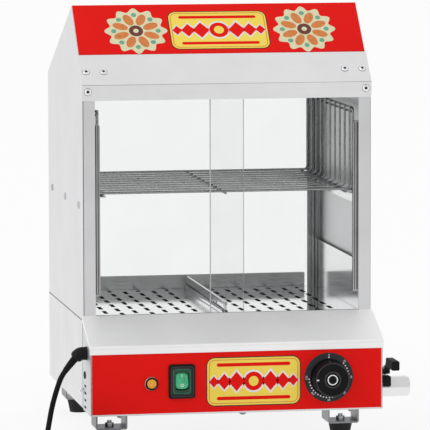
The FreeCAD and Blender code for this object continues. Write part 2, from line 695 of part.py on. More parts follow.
def make_control_box():
    box = body("control_box")
    top_front = f"{apron_height(PANEL_FACE)} - {APRON_DROP}"
    top_rear = f"{APRON_TOP} - {APRON_DROP}"
    add(box, "Block", "YZ_Plane", f"-{BOX_HALF}", BOX_HALF, polygon([
        (PANEL_FACE, BASE),
        ("0", BASE),
        ("0", f"{BASE} + box_lap_rise"),
        ("box_lap", f"{BASE} + box_lap_rise"),
        ("box_lap", DECK),
        ("0", DECK),
        ("0", top_rear),
        (PANEL_FACE, top_front),
    ]))
    cut(box, "Inside", "YZ_Plane", f"-{HALF}", HALF,
        rectangle(f"{PANEL_FACE} - overrun", f"{BASE} + sheet",
                  "box_lap + overrun", f"{APRON_TOP} + overrun"))
    add(box, "Flanges", "XY_Plane", f"{BASE} + sheet", LIP_LOW,
        rectangle(f"{HALF} - box_flange", f"{PANEL_FACE} + sheet", HALF, f"{PANEL_FACE} + 2 * sheet"),
        rectangle(f"-{HALF}", f"{PANEL_FACE} + sheet", f"box_flange - {HALF}", f"{PANEL_FACE} + 2 * sheet"))
    soften(box, "LapCorners", "box_lap / 2", edge_at("x", y="box_lap", z=DECK))
    low = f"({BASE} + vent_rise)"
    slot = cut(box, "Vent", "YZ_Plane", f"-{BOX_HALF}", BOX_HALF,
               rounded("-vent_setback - vent_length / 2", f"{low} - vent_height / 2",
                       "-vent_setback + vent_length / 2", f"{low} + vent_height / 2", "vent_corner"))
    repeat(box, "Vents", slot, "Z_Axis", "vent_pitch", "vent_count")
    cut(box, "GlandHole", "YZ_Plane", f"-{BOX_HALF}", f"-{HALF}",
        circle("-gland_setback", GLAND_Z, "gland_nose + pass_gap"))


def make_apron():
    apron = body("apron")
    half = f"({BOX_HALF} + sheet)"
    front = f"(-{APRON_RUN})"
    add(apron, "Slope", "YZ_Plane", f"-{half}", half, polygon([
        (front, LIP_LOW),
        (front, LIP_TOP),
        ("0", APRON_TOP),
        ("0", f"{APRON_TOP} - {APRON_DROP}"),
        (PANEL_FACE, f"{apron_height(PANEL_FACE)} - {APRON_DROP}"),
        (PANEL_FACE, LIP_LOW),
    ]))
    add(apron, "TrackFlange", "YZ_Plane", f"-{INNER}", INNER, rectangle("0", DECK, "sheet", APRON_TOP))
    for side in ("left", "right"):
        inner, outer = mirrored(side, BOX_HALF, half)
        add(apron, "Skirt" + side, "YZ_Plane", inner, outer, polygon([
            (PANEL_FACE, f"{apron_height(PANEL_FACE)} - {APRON_DROP}"),
            (PANEL_FACE, f"{apron_height(PANEL_FACE)} - {APRON_DROP} - apron_skirt"),
            ("0", f"{APRON_TOP} - {APRON_DROP} - apron_skirt"),
            ("0", f"{APRON_TOP} - {APRON_DROP}"),
        ]))
    soften(apron, "LipBend", "lip_bend", edge_at("x", y=front, z=LIP_TOP))


def make_control_panel():
    panel = body("control_panel")
    add(panel, "Plate", "XZ_Plane", PANEL_FACE, f"{PANEL_FACE} + sheet",
        rectangle(f"-{HALF}", f"{BASE} + sheet", HALF, f"{LIP_TOP} - 2 * sheet"))
    half_width = "(switch_width / 2 - switch_body_inset + pass_gap)"
    half_height = "(switch_height / 2 - switch_body_inset + pass_gap)"
    cut(panel, "Holes", "XZ_Plane", PANEL_FACE, f"{PANEL_FACE} + sheet",
        circle("lamp_place", LAMP_Z, "lamp_barrel + pass_gap"),
        circle("dial_place", CONTROLS, "spindle_radius + 2 * pass_gap"),
        rectangle(f"switch_place - {half_width}", f"{CONTROLS} - {half_height}",
                  f"switch_place + {half_width}", f"{CONTROLS} + {half_height}"))


# Upper cabinet

def make_side_panel(side):
    panel = body("side_panel_" + side)
    inner, outer = mirrored(side, INNER, HALF)
    add(panel, "Sheet", "YZ_Plane", inner, outer, polygon([
        ("0", DECK),
        ("0", BEND),
        ("ridge_setback", RIDGE),
        ("body_depth", SHOULDER),
        ("body_depth", DECK),
    ]))
    left, right = mirrored(side, f"{HALF} - post_width", INNER)
    add(panel, "FrontPost", "XY_Plane", APRON_TOP, f"{BEND} - 2 * sheet",
        rectangle(left, "0", right, "sheet"))
    add(panel, "RearFlange", "XY_Plane", DECK, f"{SHOULDER} - roof_skirt",
        rectangle(left, "body_depth - sheet", right, "body_depth"))
    face = on_side(side, HALF)
    soften(panel, "Bends", "bend_radius",
           either(edge_at("z", x=face, y="0"), edge_at("z", x=face, y="body_depth")))


def make_roof():
    roof = body("roof")
    add(roof, "Sheet", "YZ_Plane", f"-{INNER}", INNER, strip([
        ("0", BEND),
        ("ridge_setback", RIDGE),
        ("body_depth", SHOULDER),
        ("body_depth", f"{SHOULDER} - roof_skirt"),
    ], "sheet", -1))
    soften(roof, "RidgeBend", "bend_radius",
           either(edge_at("x", y="ridge_setback", z=RIDGE), edge_at("x", y="body_depth", z=SHOULDER)))


def up_slope(length):
    """A point of the front slope at a distance from its foot."""
    return (f"({length}) * ridge_setback / {SLOPE}", f"{BEND} + ({length}) * ridge_rise / {SLOPE}")


def make_front_header():
    header = body("front_header")
    half = f"({HALF} + header_overhang)"
    add(header, "Sheet", "YZ_Plane", f"-{half}", half,
        strip([("0", HEAD), ("0", BEND), up_slope("fascia_length")], "sheet", 1))
    soften(header, "LowerCorners", "header_corner",
           either(edge_at("y", x=half, z=HEAD), edge_at("y", x=f"-{half}", z=HEAD)))


def make_sign_plate():
    sign = body("sign_plate")
    half = f"({HALF} - sign_margin)"
    add(sign, "Sheet", "YZ_Plane", f"-{half}", half,
        strip([up_slope("fascia_length + sign_margin"), up_slope(f"{SLOPE} - sign_margin")], "sheet", 1))


# Rear glass

def make_rear_channel(side):
    channel = body("rear_channel_" + side)
    points = [
        ("channel_inner", CHANNEL_FRONT),
        ("channel_outer", CHANNEL_FRONT),
        ("channel_outer", f"{CHANNEL_REAR} - sheet"),
        (INNER, f"{CHANNEL_REAR} - sheet"),
        (INNER, CHANNEL_REAR),
        ("channel_inner", CHANNEL_REAR),
        ("channel_inner", f"{CHANNEL_REAR} - sheet"),
        ("(channel_outer - sheet)", f"{CHANNEL_REAR} - sheet"),
        ("(channel_outer - sheet)", f"{CHANNEL_FRONT} + sheet"),
        ("channel_inner", f"{CHANNEL_FRONT} + sheet"),
    ]
    add(channel, "Section", "XY_Plane", DECK, f"{DECK} + channel_top",
        polygon([(on_side(side, x), y) for x, y in points]))


def make_rear_bottom_rail():
    rail = body("rear_bottom_rail")
    top = f"{DECK} + rail_height"
    add(rail, "Section", "YZ_Plane", "-rail_half", "rail_half", polygon([
        (CHANNEL_FRONT, DECK),
        (CHANNEL_REAR, DECK),
        (CHANNEL_REAR, top),
        (f"{CHANNEL_REAR} - sheet", top),
        (f"{CHANNEL_REAR} - sheet", f"{DECK} + sheet"),
        (f"{CHANNEL_FRONT} + sheet", f"{DECK} + sheet"),
        (f"{CHANNEL_FRONT} + sheet", top),
        (CHANNEL_FRONT, top),
    ]))


def make_rear_glass():
    glass = body("rear_glass")
    half = "(channel_outer - sheet - seat_gap)"
    front = f"({CHANNEL_FRONT} + sheet + seat_gap)"
    add(glass, "Pane", "XZ_Plane", front, f"{front} + rear_glass_sheet",
        rectangle(f"-{half}", f"{DECK} + sheet", half, f"{DECK} + channel_top"))


# Sliding doors and their tracks

def track_section(foot, floor, rim):
    """Three walls on one floor: the floor's outer face, its inner face and the walls' edges."""
    points = [("sheet", foot)]
    for number in range(3):
        wall = f"(sheet + {number} * {TRACK_PITCH})"
        points += [(wall, rim), (f"{wall} + track_wall", rim)]
        if number < 2:
            points += [(f"{wall} + track_wall", floor), (f"{wall} + {TRACK_PITCH}", floor)]
    points.append((TRACK_REAR, foot))
    return polygon(points)


TOP_TRACK = f"({HEAD} + top_track_gap + top_track_height)"


def make_tracks():
    bottom = body("bottom_track")
    add(bottom, "Section", "YZ_Plane", f"-{INNER}", INNER,
        track_section(DECK, f"{DECK} + track_wall", f"{DECK} + track_height"))
    top = body("top_track")
    add(top, "Section", "YZ_Plane", f"-{INNER}", INNER,
        track_section(TOP_TRACK, f"{TOP_TRACK} - track_wall", f"{HEAD} + top_track_gap"))


def make_door(side):
    """The right door runs in the front channels and the left door in the rear ones."""
    channel = "0" if side == "right" else TRACK_PITCH
    front = f"(sheet + track_wall + slide_gap + {channel})"
    rear = f"({front} + door_glass)"
    glass = body(side + "_door_glass")
    left, right = mirrored(side, "-door_overlap / 2", DOOR_OUTER)
    add(glass, "Pane", "XZ_Plane", front, rear,
        rectangle(left, f"{DECK} + track_wall + glide_gap", right, f"{HEAD} + top_track_gap + door_grip"))
    pull = body(side + "_door_pull")
    inner = f"({DOOR_OUTER} + pull_wall - pull_width)"
    outer = f"({DOOR_OUTER} + pull_wall)"
    section = [
        (inner, f"{front} - pull_wall"),
        (outer, f"{front} - pull_wall"),
        (outer, f"{rear} + pull_wall"),
        (inner, f"{rear} + pull_wall"),
        (inner, rear),
        (DOOR_OUTER, rear),
        (DOOR_OUTER, front),
        (inner, front),
    ]
    top = f"{DECK} + pull_low + pull_length"
    add(pull, "Section", "XY_Plane", f"{DECK} + pull_low", top,
        polygon([(on_side(side, x), y) for x, y in section]))
    soften(pull, "TopCorner", "pull_corner", edge_at("y", x=on_side(side, inner), z=top))


# Water tank, trays and divider

def make_water_tank():
    tank = body("water_tank")
    top = f"({DECK} + tank_sheet)"
    add(tank, "Pan", "XY_Plane", TANK_BOTTOM, DECK,
        rounded("-tank_half", TANK_FRONT, "tank_half", TANK_REAR, "tank_corner"))
    half = "(tank_half + tank_flange)"
    add(tank, "Flange", "XY_Plane", DECK, top,
        rectangle(f"-{half}", f"{TANK_FRONT} - tank_flange", half, f"{TANK_REAR} + tank_flange"))
    cut(tank, "Inside", "XY_Plane", f"{TANK_BOTTOM} + tank_sheet", top,
        rounded("tank_sheet - tank_half", f"{TANK_FRONT} + tank_sheet", "tank_half - tank_sheet",
                f"{TANK_REAR} - tank_sheet", "tank_corner - tank_sheet"))
    cut(tank, "Outlet", "XY_Plane", TANK_BOTTOM, f"{TANK_BOTTOM} + tank_sheet",
        circle("drain_place", f"{TANK_FRONT} + drain_setback", "drain_radius + pass_gap"))
    element_z = f"{TANK_BOTTOM} + element_rise"
    cut(tank, "Passages", "XZ_Plane", TANK_FRONT, f"{TANK_FRONT} + tank_sheet",
        circle("-element_half", element_z, "element_radius + pass_gap"),
        circle("element_half", element_z, "element_radius + pass_gap"),
        circle("bulb_place", f"{TANK_BOTTOM} + bulb_rise", "bulb_radius + pass_gap"),
        circle("probe_place", f"{TANK_BOTTOM} + probe_rise", "probe_radius + pass_gap"))


TRAY_INNER = "(divider_hem / 2 + tray_gap)"
TRAY_OUTER = f"({LINER_FACE} - tray_gap)"


def make_tray(side):
    tray = body("tray_" + side)
    top = f"({TRAY_LOW} + tray_sheet)"
    left, right = mirrored(side, TRAY_INNER, TRAY_OUTER)
    add(tray, "Floor", "XY_Plane", TRAY_LOW, top, rectangle(left, TRAY_FRONT, right, TRAY_REAR))
    left, right = mirrored(side, TRAY_INNER, f"{TRAY_INNER} + tray_sheet")
    add(tray, "Flange", "XY_Plane", top, f"{TRAY_LOW} + tray_flange",
        rectangle(left, TRAY_FRONT, right, TRAY_REAR))
    step = on_side(side, "2 * slot_column_pitch")
    first_y = f"({TRAY_FRONT} + slot_margin)"
    columns = (
        ("Outer", "slot_first_column", first_y, "slot_rows", "slot_columns"),
        ("Inner", "slot_first_column + slot_column_pitch", f"({first_y} + {SLOT_PITCH} / 2)",
         "slot_rows - 1", "slot_columns - 1"),
    )
    for name, place, y, rows, count in columns:
        middle = on_side(side, place)
        slot = cut(tray, name, "XY_Plane", TRAY_LOW, top,
                   rounded(f"{middle} - slot_width / 2", y, f"{middle} + slot_width / 2",
                           f"{y} + slot_length", "slot_corner"))
        grid = tray.newObject("PartDesign::LinearPattern", rename(tray, name + "Grid"))
        grid.Originals = [slot]
        axes = {part.Role: part for part in tray.Origin.OriginFeatures}
        grid.Direction = (axes["Y_Axis"], [""])
        grid.Mode = "Spacing"
        bind(grid, "Offset", SLOT_PITCH)
        bind(grid, "Occurrences", rows)
        grid.Direction2 = (axes["X_Axis"], [""])
        grid.Mode2 = "Spacing"
        grid.Reversed2 = side == "left"
        bind(grid, "Offset2", "2 * slot_column_pitch")
        bind(grid, "Occurrences2", count)
        tray.Tip = grid
        doc.recompute()


def make_divider():
    divider = body("divider")
    top = f"({DECK} + divider_height)"
    hem = f"({top} - hem_height)"
    front, rear = f"({TRAY_FRONT} + tray_gap)", TRAY_REAR
    add(divider, "Web", "YZ_Plane", "-divider_web / 2", "divider_web / 2",
        rectangle(front, TRAY_LOW, rear, top))
    add(divider, "Hem", "YZ_Plane", "-divider_hem / 2", "divider_hem / 2", rectangle(front, hem, rear, top))
    soften(divider, "Corners", "divider_corner",
           either(edge_at("x", y=front, z=top), edge_at("x", y=rear, z=top)))
    cut(divider, "FingerHole", "YZ_Plane", "-divider_web / 2", "divider_web / 2",
        rounded(f"{front} + finger_start", f"{hem} - finger_height",
                f"{front} + finger_start + finger_length", hem, "finger_corner"))


# Side liners and shelf rails

def make_side_liner(side):
    liner = body("side_liner_" + side)
    front, rear = f"{TRACK_REAR} + rest_gap", f"{CHANNEL_FRONT} - rest_gap"
    section = [
        (INNER, DECK),
        (LINER_FACE, DECK),
        (LINER_FACE, f"{DECK} + liner_height"),
        (f"({LINER_FACE} + liner_sheet)", f"{DECK} + liner_height"),
        (f"({LINER_FACE} + liner_sheet)", f"{DECK} + liner_sheet"),
        (INNER, f"{DECK} + liner_sheet"),
    ]
    add(liner, "Section", "XZ_Plane", front, rear, polygon([(on_side(side, x), y) for x, y in section]))


def make_shelf_rail(side):
    rail = body("shelf_rail_" + side)
    points = [(INNER, f"{LEDGE} - ledge_leg"), (INNER, LEDGE), ("ledge_reach", LEDGE)]
    add(rail, "Section", "XZ_Plane", f"{TRACK_REAR} + rest_gap", f"{CHANNEL_FRONT} - rest_gap",
        strip([(on_side(side, x), y) for x, y in points], "sheet", 1 if side == "right" else -1))
    soften(rail, "Bend", "ledge_corner", edge_at("y", x=on_side(side, INNER), z=LEDGE))


# Controls

def make_lamp():
    lamp = body("lamp_body")
    at = ("lamp_place", PANEL_FACE, LAMP_Z)
    turn(lamp, "Ring", "Y", at, [
        ("0", "lamp_ring_radius"),
        ("-lamp_ring_reach / 2", "lamp_ring_radius"),
        ("-lamp_ring_reach", "lamp_ring_radius - lamp_ring_reach / 2"),
        ("-lamp_ring_reach", "lamp_bore"),
        ("sheet", "lamp_bore"),
        ("sheet", "0"),
        ("lamp_barrel_length", "0"),
        ("lamp_barrel_length", "lamp_barrel"),
        ("0", "lamp_barrel"),
    ])
    lens = body("lamp_lens")
    turn(lens, "Lens", "Y", at, [
        ("sheet", "0"),
        ("-lens_reach", "0"),
        ("-lens_reach", "lens_radius / 2"),
        ("-lens_reach / 3", "lens_radius"),
        ("sheet", "lens_radius"),
    ])


ROCKER_FACE = f"({PANEL_FACE} - switch_frame_reach / 2)"
ROCKER_PIVOT = f"({ROCKER_FACE} + rocker_radius / 2)"
ROCKER_SLOT = "(rocker_radius + rocker_gap)"


def make_switch():
    frame = body("switch_body")
    half_width, half_height = "(switch_width / 2)", "(switch_height / 2)"
    add(frame, "Frame", "XZ_Plane", f"{PANEL_FACE} - switch_frame_reach", PANEL_FACE,
        rounded(f"switch_place - {half_width}", f"{CONTROLS} - {half_height}",
                f"switch_place + {half_width}", f"{CONTROLS} + {half_height}", "switch_corner"))
    soften(frame, "FrameEdge", "switch_frame_reach / 3", lambda edge: abs(
        edge.CenterOfMass.y - value(f"{PANEL_FACE} - switch_frame_reach")) < value("sheet") / 100)
    inset = "switch_body_inset"
    add(frame, "Housing", "XZ_Plane", PANEL_FACE, f"{PANEL_FACE} + switch_body_depth",
        rectangle(f"switch_place - {half_width} + {inset}", f"{CONTROLS} - {half_height} + {inset}",
                  f"switch_place + {half_width} - {inset}", f"{CONTROLS} + {half_height} - {inset}"))
    cut(frame, "WellSeat", "XZ_Plane", f"{PANEL_FACE} - switch_frame_reach", PANEL_FACE,
        rounded("switch_place - well_width / 2", f"{CONTROLS} - well_height / 2",
                "switch_place + well_width / 2", f"{CONTROLS} + well_height / 2", "well_corner"))
    rocker_half = "(rocker_width / 2 + rocker_gap)"
    opening = rectangle(f"switch_place - {rocker_half}", f"{CONTROLS} - {ROCKER_SLOT}",
                        f"switch_place + {rocker_half}", f"{CONTROLS} + {ROCKER_SLOT}")
    cut(frame, "RockerSeat", "XZ_Plane", PANEL_FACE, f"{ROCKER_PIVOT} + {ROCKER_SLOT}", opening)
    pin_reach = f"({rocker_half} + rocker_pin_length)"
    cut(frame, "PinSeat", "YZ_Plane", f"switch_place - {pin_reach}", f"switch_place + {pin_reach}",
        circle(ROCKER_PIVOT, CONTROLS, "rocker_pin + pin_fit"))
    well = body("switch_well")
    add(well, "Plate", "XZ_Plane", f"{PANEL_FACE} - switch_frame_reach / 2", PANEL_FACE,
        rounded("switch_place - well_width / 2", f"{CONTROLS} - well_height / 2",
                "switch_place + well_width / 2", f"{CONTROLS} + well_height / 2", "well_corner"))
    cut(well, "Opening", "XZ_Plane", f"{PANEL_FACE} - switch_frame_reach / 2", PANEL_FACE, opening)


def make_rocker():
    """A barrel about its pin, with a crowned face, pressed in at its upper end."""
    rocker = body("switch_rocker")
    end_y, end_z = "rocker_radius * cos(rocker_edge_angle)", "rocker_radius * sin(rocker_edge_angle)"
    upper = [
        (f"-{end_y}", end_z),
        ("0", "rocker_radius"),
        ("rocker_back", "rocker_side"),
        ("rocker_back", "-rocker_side"),
        ("0", "-rocker_radius"),
        (f"-{end_y}", f"-{end_z}"),
        ("-rocker_cheek", f"-{end_z} / 2"),
        ("-rocker_crown", "0"),
        ("-rocker_cheek", f"{end_z} / 2"),
    ]
    add(rocker, "Barrel", "YZ_Plane", "-rocker_width / 2", "rocker_width / 2", polygon(upper))
    half = "(rocker_width / 2 + rocker_gap + rocker_pin_length)"
    add(rocker, "Pin", "YZ_Plane", f"-{half}", half, circle("0", "0", "rocker_pin"))
    rocker.Placement = FreeCAD.Placement(FreeCAD.Vector(), FreeCAD.Rotation(FreeCAD.Vector(-1, 0, 0), 1))
    bind(rocker, "Placement.Rotation.Angle", "rocker_tilt")
    bind(rocker, "Placement.Base.x", f"{SHIFT_X} + switch_place")
    bind(rocker, "Placement.Base.y", f"{SHIFT_Y} + {ROCKER_PIVOT}")
    bind(rocker, "Placement.Base.z", CONTROLS)
    doc.recompute()


def make_thermostat():
    at = ("dial_place", PANEL_FACE, CONTROLS)
    bezel = body("thermostat_bezel")
    turn(bezel, "Ring", "Y", at, [
        ("0", "spindle_radius + 2 * pass_gap"),
        ("-dial_thickness", "spindle_radius + 2 * pass_gap"),
        ("-dial_thickness", "dial_radius - dial_thickness / 2"),
        ("-dial_thickness / 2", "dial_radius"),
        ("0", "dial_radius"),
    ])
    knob = body("thermostat_knob")
    foot = "(-dial_thickness - knob_running_gap)"
    face = "(-knob_reach)"
    bore_end = f"({foot} - spindle_grip)"
    turn(knob, "Shell", "Y", at, [
        (foot, "spindle_radius"),
        (foot, "knob_hub"),
        (f"{face} + knob_wall + dimple_depth", "knob_hub"),
        (f"{face} + knob_wall + dimple_depth", "knob_front_radius - knob_wall"),
        (foot, "knob_radius - knob_wall"),
        (foot, "knob_radius"),
        (face, "knob_front_radius"),
        (face, "dimple_radius"),
        (f"{face} + dimple_depth", "dimple_radius - dimple_depth"),
        (f"{face} + dimple_depth", "0"),
        (bore_end, "0"),
        (bore_end, "spindle_radius"),
    ])
    rim_y = value(f"{PANEL_FACE} + {face}")
    rim_radius = value("knob_front_radius")
    soften(knob, "FaceEdge", "knob_edge", lambda edge: edge.Curve.TypeId == "Part::GeomCircle"
           and abs(edge.Curve.Radius - rim_radius) < value("pin_fit")
           and abs(edge.CenterOfMass.y - rim_y) < value("pin_fit"))
    cap = body("knob_cap")
    turn(cap, "Cap", "Y", at, [
        (f"{face} + dimple_depth", "0"),
        (f"{face} + dimple_depth - cap_reach", "0"),
        (f"{face} + dimple_depth - cap_reach", "cap_radius - cap_reach / 2"),
        (f"{face} + dimple_depth", "cap_radius"),
    ])
    spindle = body("thermostat_spindle")
    turn(spindle, "Rod", "Y", at, [
        (bore_end, "0"),
        (bore_end, "spindle_radius"),
        ("sheet + spindle_seat", "spindle_radius"),
        ("sheet + spindle_seat", "0"),
    ])
    housing = body("thermostat_body")
    turn(housing, "Can", "Y", at, [
        ("sheet", "spindle_radius + pin_fit"),
        ("sheet", "thermostat_radius"),
        ("sheet + thermostat_depth", "thermostat_radius"),
        ("sheet + thermostat_depth", "0"),
        ("sheet + spindle_seat + rest_gap", "0"),
        ("sheet + spindle_seat + rest_gap", "spindle_radius + pin_fit"),
    ])


# Rods and tubes that follow a bent middle line

def vector(x, y, z):
    """A point whose places are expressions of size names."""
    return FreeCAD.Vector(value(x), value(y), value(z))


def bent_line(points, radii):
    """A wire of straight runs joined by tangent arcs, one radius for each inner point."""
    edges = []
    start = points[0]
    for before, corner, after, radius in zip(points, points[1:], points[2:], radii):
        into = (before - corner).normalize()
        out = (after - corner).normalize()
        half = into.getAngle(out) / 2
        reach = radius / math.tan(half)
        middle = (into + out).normalize() * (radius / math.sin(half) - radius)
        edges.append(Part.LineSegment(start, corner + into * reach).toShape())
        edges.append(Part.Arc(corner + into * reach, corner + middle, corner + out * reach).toShape())
        start = corner + out * reach
    edges.append(Part.LineSegment(start, points[-1]).toShape())
    return Part.Wire(edges)


def tube(line, radius):
    """A round solid along a wire."""
    first = line.Edges[0]
    start = first.valueAt(first.FirstParameter)
    heading = first.tangentAt(first.FirstParameter)
    section = Part.Wire([Part.Circle(start, heading, radius).toShape()])
    return line.makePipeShell([section], True, False)


def keep_shape(label, shape):
    """A sub-part whose shape comes straight from the sizes."""
    made = doc.addObject("Part::Feature", "Shape_" + label)
    made.Shape = shape
    keep(made, label)
    return made


# The bun rack: bent floor wires on rods, with a loop and a rim rod along each side

RACK_FRONT = f"({TRACK_REAR} + rack_front_gap)"
RACK_REAR = f"({CHANNEL_FRONT} - rack_rear_gap)"
ROD_Z = f"({LEDGE} + rest_gap + rack_rod)"
WIRE_Z = f"({ROD_Z} + rack_rod + rack_wire - rack_weld)"
RACK_TOP = f"({WIRE_Z} + rack_rise)"
RIM_X = "(rack_half + rack_wire + rack_rod - rack_weld)"


def straight_wire(start, end, radius):
    """A round wire between two points."""
    run = end - start
    return Part.makeCylinder(value(radius), run.Length, start, run)


def bent_wire(points, radius):
    """A round wire with two bends."""
    return tube(bent_line(points, [value("rack_bend")] * 2), value(radius))


def make_bun_rack():
    wires = []
    wire_top = f"({RACK_TOP} + rack_wire)"
    pitch = f"({RACK_REAR} - {RACK_FRONT} - 2 * rack_wire_inset) / (rack_wires - 1)"
    for number in range(round(value("rack_wires"))):
        y = f"{RACK_FRONT} + rack_wire_inset + {number} * {pitch}"
        corners = [
            ("-rack_half", wire_top), ("-rack_half", WIRE_Z),
            ("rack_half", WIRE_Z), ("rack_half", wire_top),
        ]
        wires.append(bent_wire([vector(x, y, z) for x, z in corners], "rack_wire"))
    front, rear = f"{RACK_FRONT} - rack_rod", f"{RACK_REAR} + rack_rod"
    for x in ("-(ledge_reach + 2 * rack_rod)", "0", "ledge_reach + 2 * rack_rod"):
        wires.append(straight_wire(vector(x, front, ROD_Z), vector(x, rear, ROD_Z), "rack_rod"))
    foot = f"({WIRE_Z} - 2 * rack_rod)"
    for x in (f"-{RIM_X}", RIM_X):
        corners = [(RACK_FRONT, foot), (RACK_FRONT, RACK_TOP), (RACK_REAR, RACK_TOP), (RACK_REAR, foot)]
        wires.append(bent_wire([vector(x, y, z) for y, z in corners], "rack_rod"))
        rim_z = f"{RACK_TOP} - rim_drop"
        wires.append(straight_wire(vector(x, RACK_FRONT, rim_z), vector(x, RACK_REAR, rim_z), "rack_rim"))
    for y in (RACK_FRONT, RACK_REAR):
        wires.append(straight_wire(vector(f"-{RIM_X}", y, WIRE_Z), vector(RIM_X, y, WIRE_Z), "rack_rim"))
    rack = wires[0].multiFuse(wires[1:])
    print("rack solids", len(rack.Solids), "valid", rack.isValid())
    keep_shape("bun_rack", rack)


TANK_WALL = f"({TANK_FRONT} - gland_nut_length)"


def passage_nut(x, z):
    """A nut on the front of the tank's front wall."""
    return Part.makeCylinder(value("gland_nut_radius"), value("gland_nut_length"), vector(x, TANK_WALL, z),
                             FreeCAD.Vector(0, 1, 0))


def make_heating_element():
    z = f"{TANK_BOTTOM} + element_rise"
    front = f"{TANK_FRONT} - element_terminal"
    rear = f"{TANK_REAR} - element_rear_gap"
    line = bent_line([
        vector("-element_half", front, z),
        vector("-element_half", rear, z),
        vector("element_half", rear, z),
        vector("element_half", front, z),
    ], [value("element_bend")] * 2)
    shape = tube(line, value("element_radius"))
    for x in ("-element_half", "element_half"):
        shape = shape.fuse(passage_nut(x, z))
    keep_shape("heating_element", shape)


def make_level_probe():
    probe = body("level_probe")
    turn(probe, "Rod", "Y", ("probe_place", TANK_FRONT, f"({TANK_BOTTOM} + probe_rise)"), [
        ("-probe_head_length", "0"),
        ("-probe_head_length", "probe_head_radius / 2"),
        ("-probe_head_length / 2", "probe_head_radius / 2"),
        ("-probe_head_length / 2", "probe_head_radius"),
        ("0", "probe_head_radius"),
        ("0", "probe_radius"),
        ("probe_length", "probe_radius"),
        ("probe_length", "0"),
    ])


def make_thermostat_bulb():
    z = f"{TANK_BOTTOM} + bulb_rise"
    start = vector("dial_place", f"{PANEL_FACE} + sheet + thermostat_depth",
                   f"{CONTROLS} + thermostat_radius / 2")
    end = vector("bulb_place", TANK_WALL, z)
    way_out = vector("0", "capillary_run", "0")
    line = bent_line([start, start + way_out, end - way_out, end], [value("capillary_bend")] * 2)
    shape = tube(line, value("capillary_radius")).fuse(passage_nut("bulb_place", z))
    bulb = Part.makeCylinder(value("bulb_radius"), value("bulb_length"), vector("bulb_place", TANK_FRONT, z),
                             FreeCAD.Vector(0, 1, 0))
    keep_shape("thermostat_bulb", shape.fuse(bulb))


def make_drain_pipe():
    y = f"{TANK_FRONT} + drain_setback"
    line = bent_line([
        vector("drain_place", y, f"{TANK_BOTTOM} + tank_sheet"),
        vector("drain_place", y, VALVE_Z),
        vector(f"{INNER} - drain_run", "valve_setback", VALVE_Z),
        vector(HALF, "valve_setback", VALVE_Z),
    ], [value("drain_bend")] * 2)
    keep_shape("drain_pipe", tube(line, value("drain_radius")))


def make_valve():
    """A six-sided ball valve with a clamp that holds its stem, and a bent lever with a grip."""
    valve = body("valve_body")
    hex_start, hex_end = f"({HALF} + valve_collar)", f"({HALF} + valve_length - valve_lip)"
    outlet = f"({HALF} + valve_length)"
    corner, flat = "valve_flats / sqrt(3)", "valve_flats / 2"
    add(valve, "Collar", "YZ_Plane", HALF, hex_start, circle("valve_setback", VALVE_Z, "valve_neck"))
    add(valve, "Hexagon", "YZ_Plane", hex_start, hex_end, polygon([
        (f"valve_setback + {across} * {corner}", f"{VALVE_Z} + {up} * {flat}")
        for across, up in ((1, 0), (1 / 2, 1), (-1 / 2, 1), (-1, 0), (-1 / 2, -1), (1 / 2, -1))
    ]))
    add(valve, "Lip", "YZ_Plane", hex_end, outlet, circle("valve_setback", VALVE_Z, "valve_neck"))
    stem_x = f"({HALF} + stem_place)"
    clamp_left, clamp_right = f"{stem_x} - bonnet_width / 2", f"{stem_x} + bonnet_width / 2"
    add(valve, "Clamp", "YZ_Plane", clamp_left, clamp_right, rectangle(
        "valve_setback - bonnet_depth / 2", f"{VALVE_Z} + bonnet_low",
        "valve_setback + bonnet_depth / 2", f"{VALVE_Z} + bonnet_high"))
    low = f"({VALVE_Z} + stem_height + rest_gap)"
    high = f"({low} + lever_rise)"
    add(valve, "StemPin", "XY_Plane", VALVE_Z, high, circle(stem_x, "valve_setback", "stem_pin"))
    add(valve, "Shoulder", "XY_Plane", VALVE_Z, f"({VALVE_Z} + stem_height)",
        circle(stem_x, "valve_setback", "bonnet_width / 2 - valve_lip / 2"))
    cut(valve, "Outlet", "YZ_Plane", f"{outlet} - valve_bore_depth", outlet,
        circle("valve_setback", VALVE_Z, "valve_bore"))
    lever = body("valve_lever")
    add(lever, "Hub", "XY_Plane", low, high, circle(stem_x, "valve_setback", "lever_hub"))
    strip_low = f"({high} - lever_sheet)"
    strip_high = f"({strip_low} + lever_slope)"
    slope_start = "(valve_setback - lever_foot)"
    front = "(valve_setback - lever_length)"
    add(lever, "Strip", "YZ_Plane", f"{stem_x} - lever_width / 2", f"{stem_x} + lever_width / 2", strip([
        ("valve_setback", strip_low),
        (slope_start, strip_low),
        (f"{slope_start} - lever_slope", strip_high),
        (front, strip_high),
    ], "lever_sheet", -1))
    cut(lever, "PinHole", "XY_Plane", low, high, circle(stem_x, "valve_setback", "stem_pin + pin_fit"))
    grip = body("valve_grip")
    middle = f"({strip_high} + lever_sheet / 2)"
    end = f"({front} - lever_sheet)"
    add(grip, "Sleeve", "XZ_Plane", end, f"{end} + grip_length",
        rounded(f"{stem_x} - grip_width / 2", f"{middle} - grip_height / 2",
                f"{stem_x} + grip_width / 2", f"{middle} + grip_height / 2", "grip_corner"))
    cut(grip, "Slot", "XZ_Plane", front, f"{end} + grip_length",
        rectangle(f"{stem_x} - lever_width / 2", strip_high,
                  f"{stem_x} + lever_width / 2", f"{strip_high} + lever_sheet"))


# Cord gland, cord, coil and plug

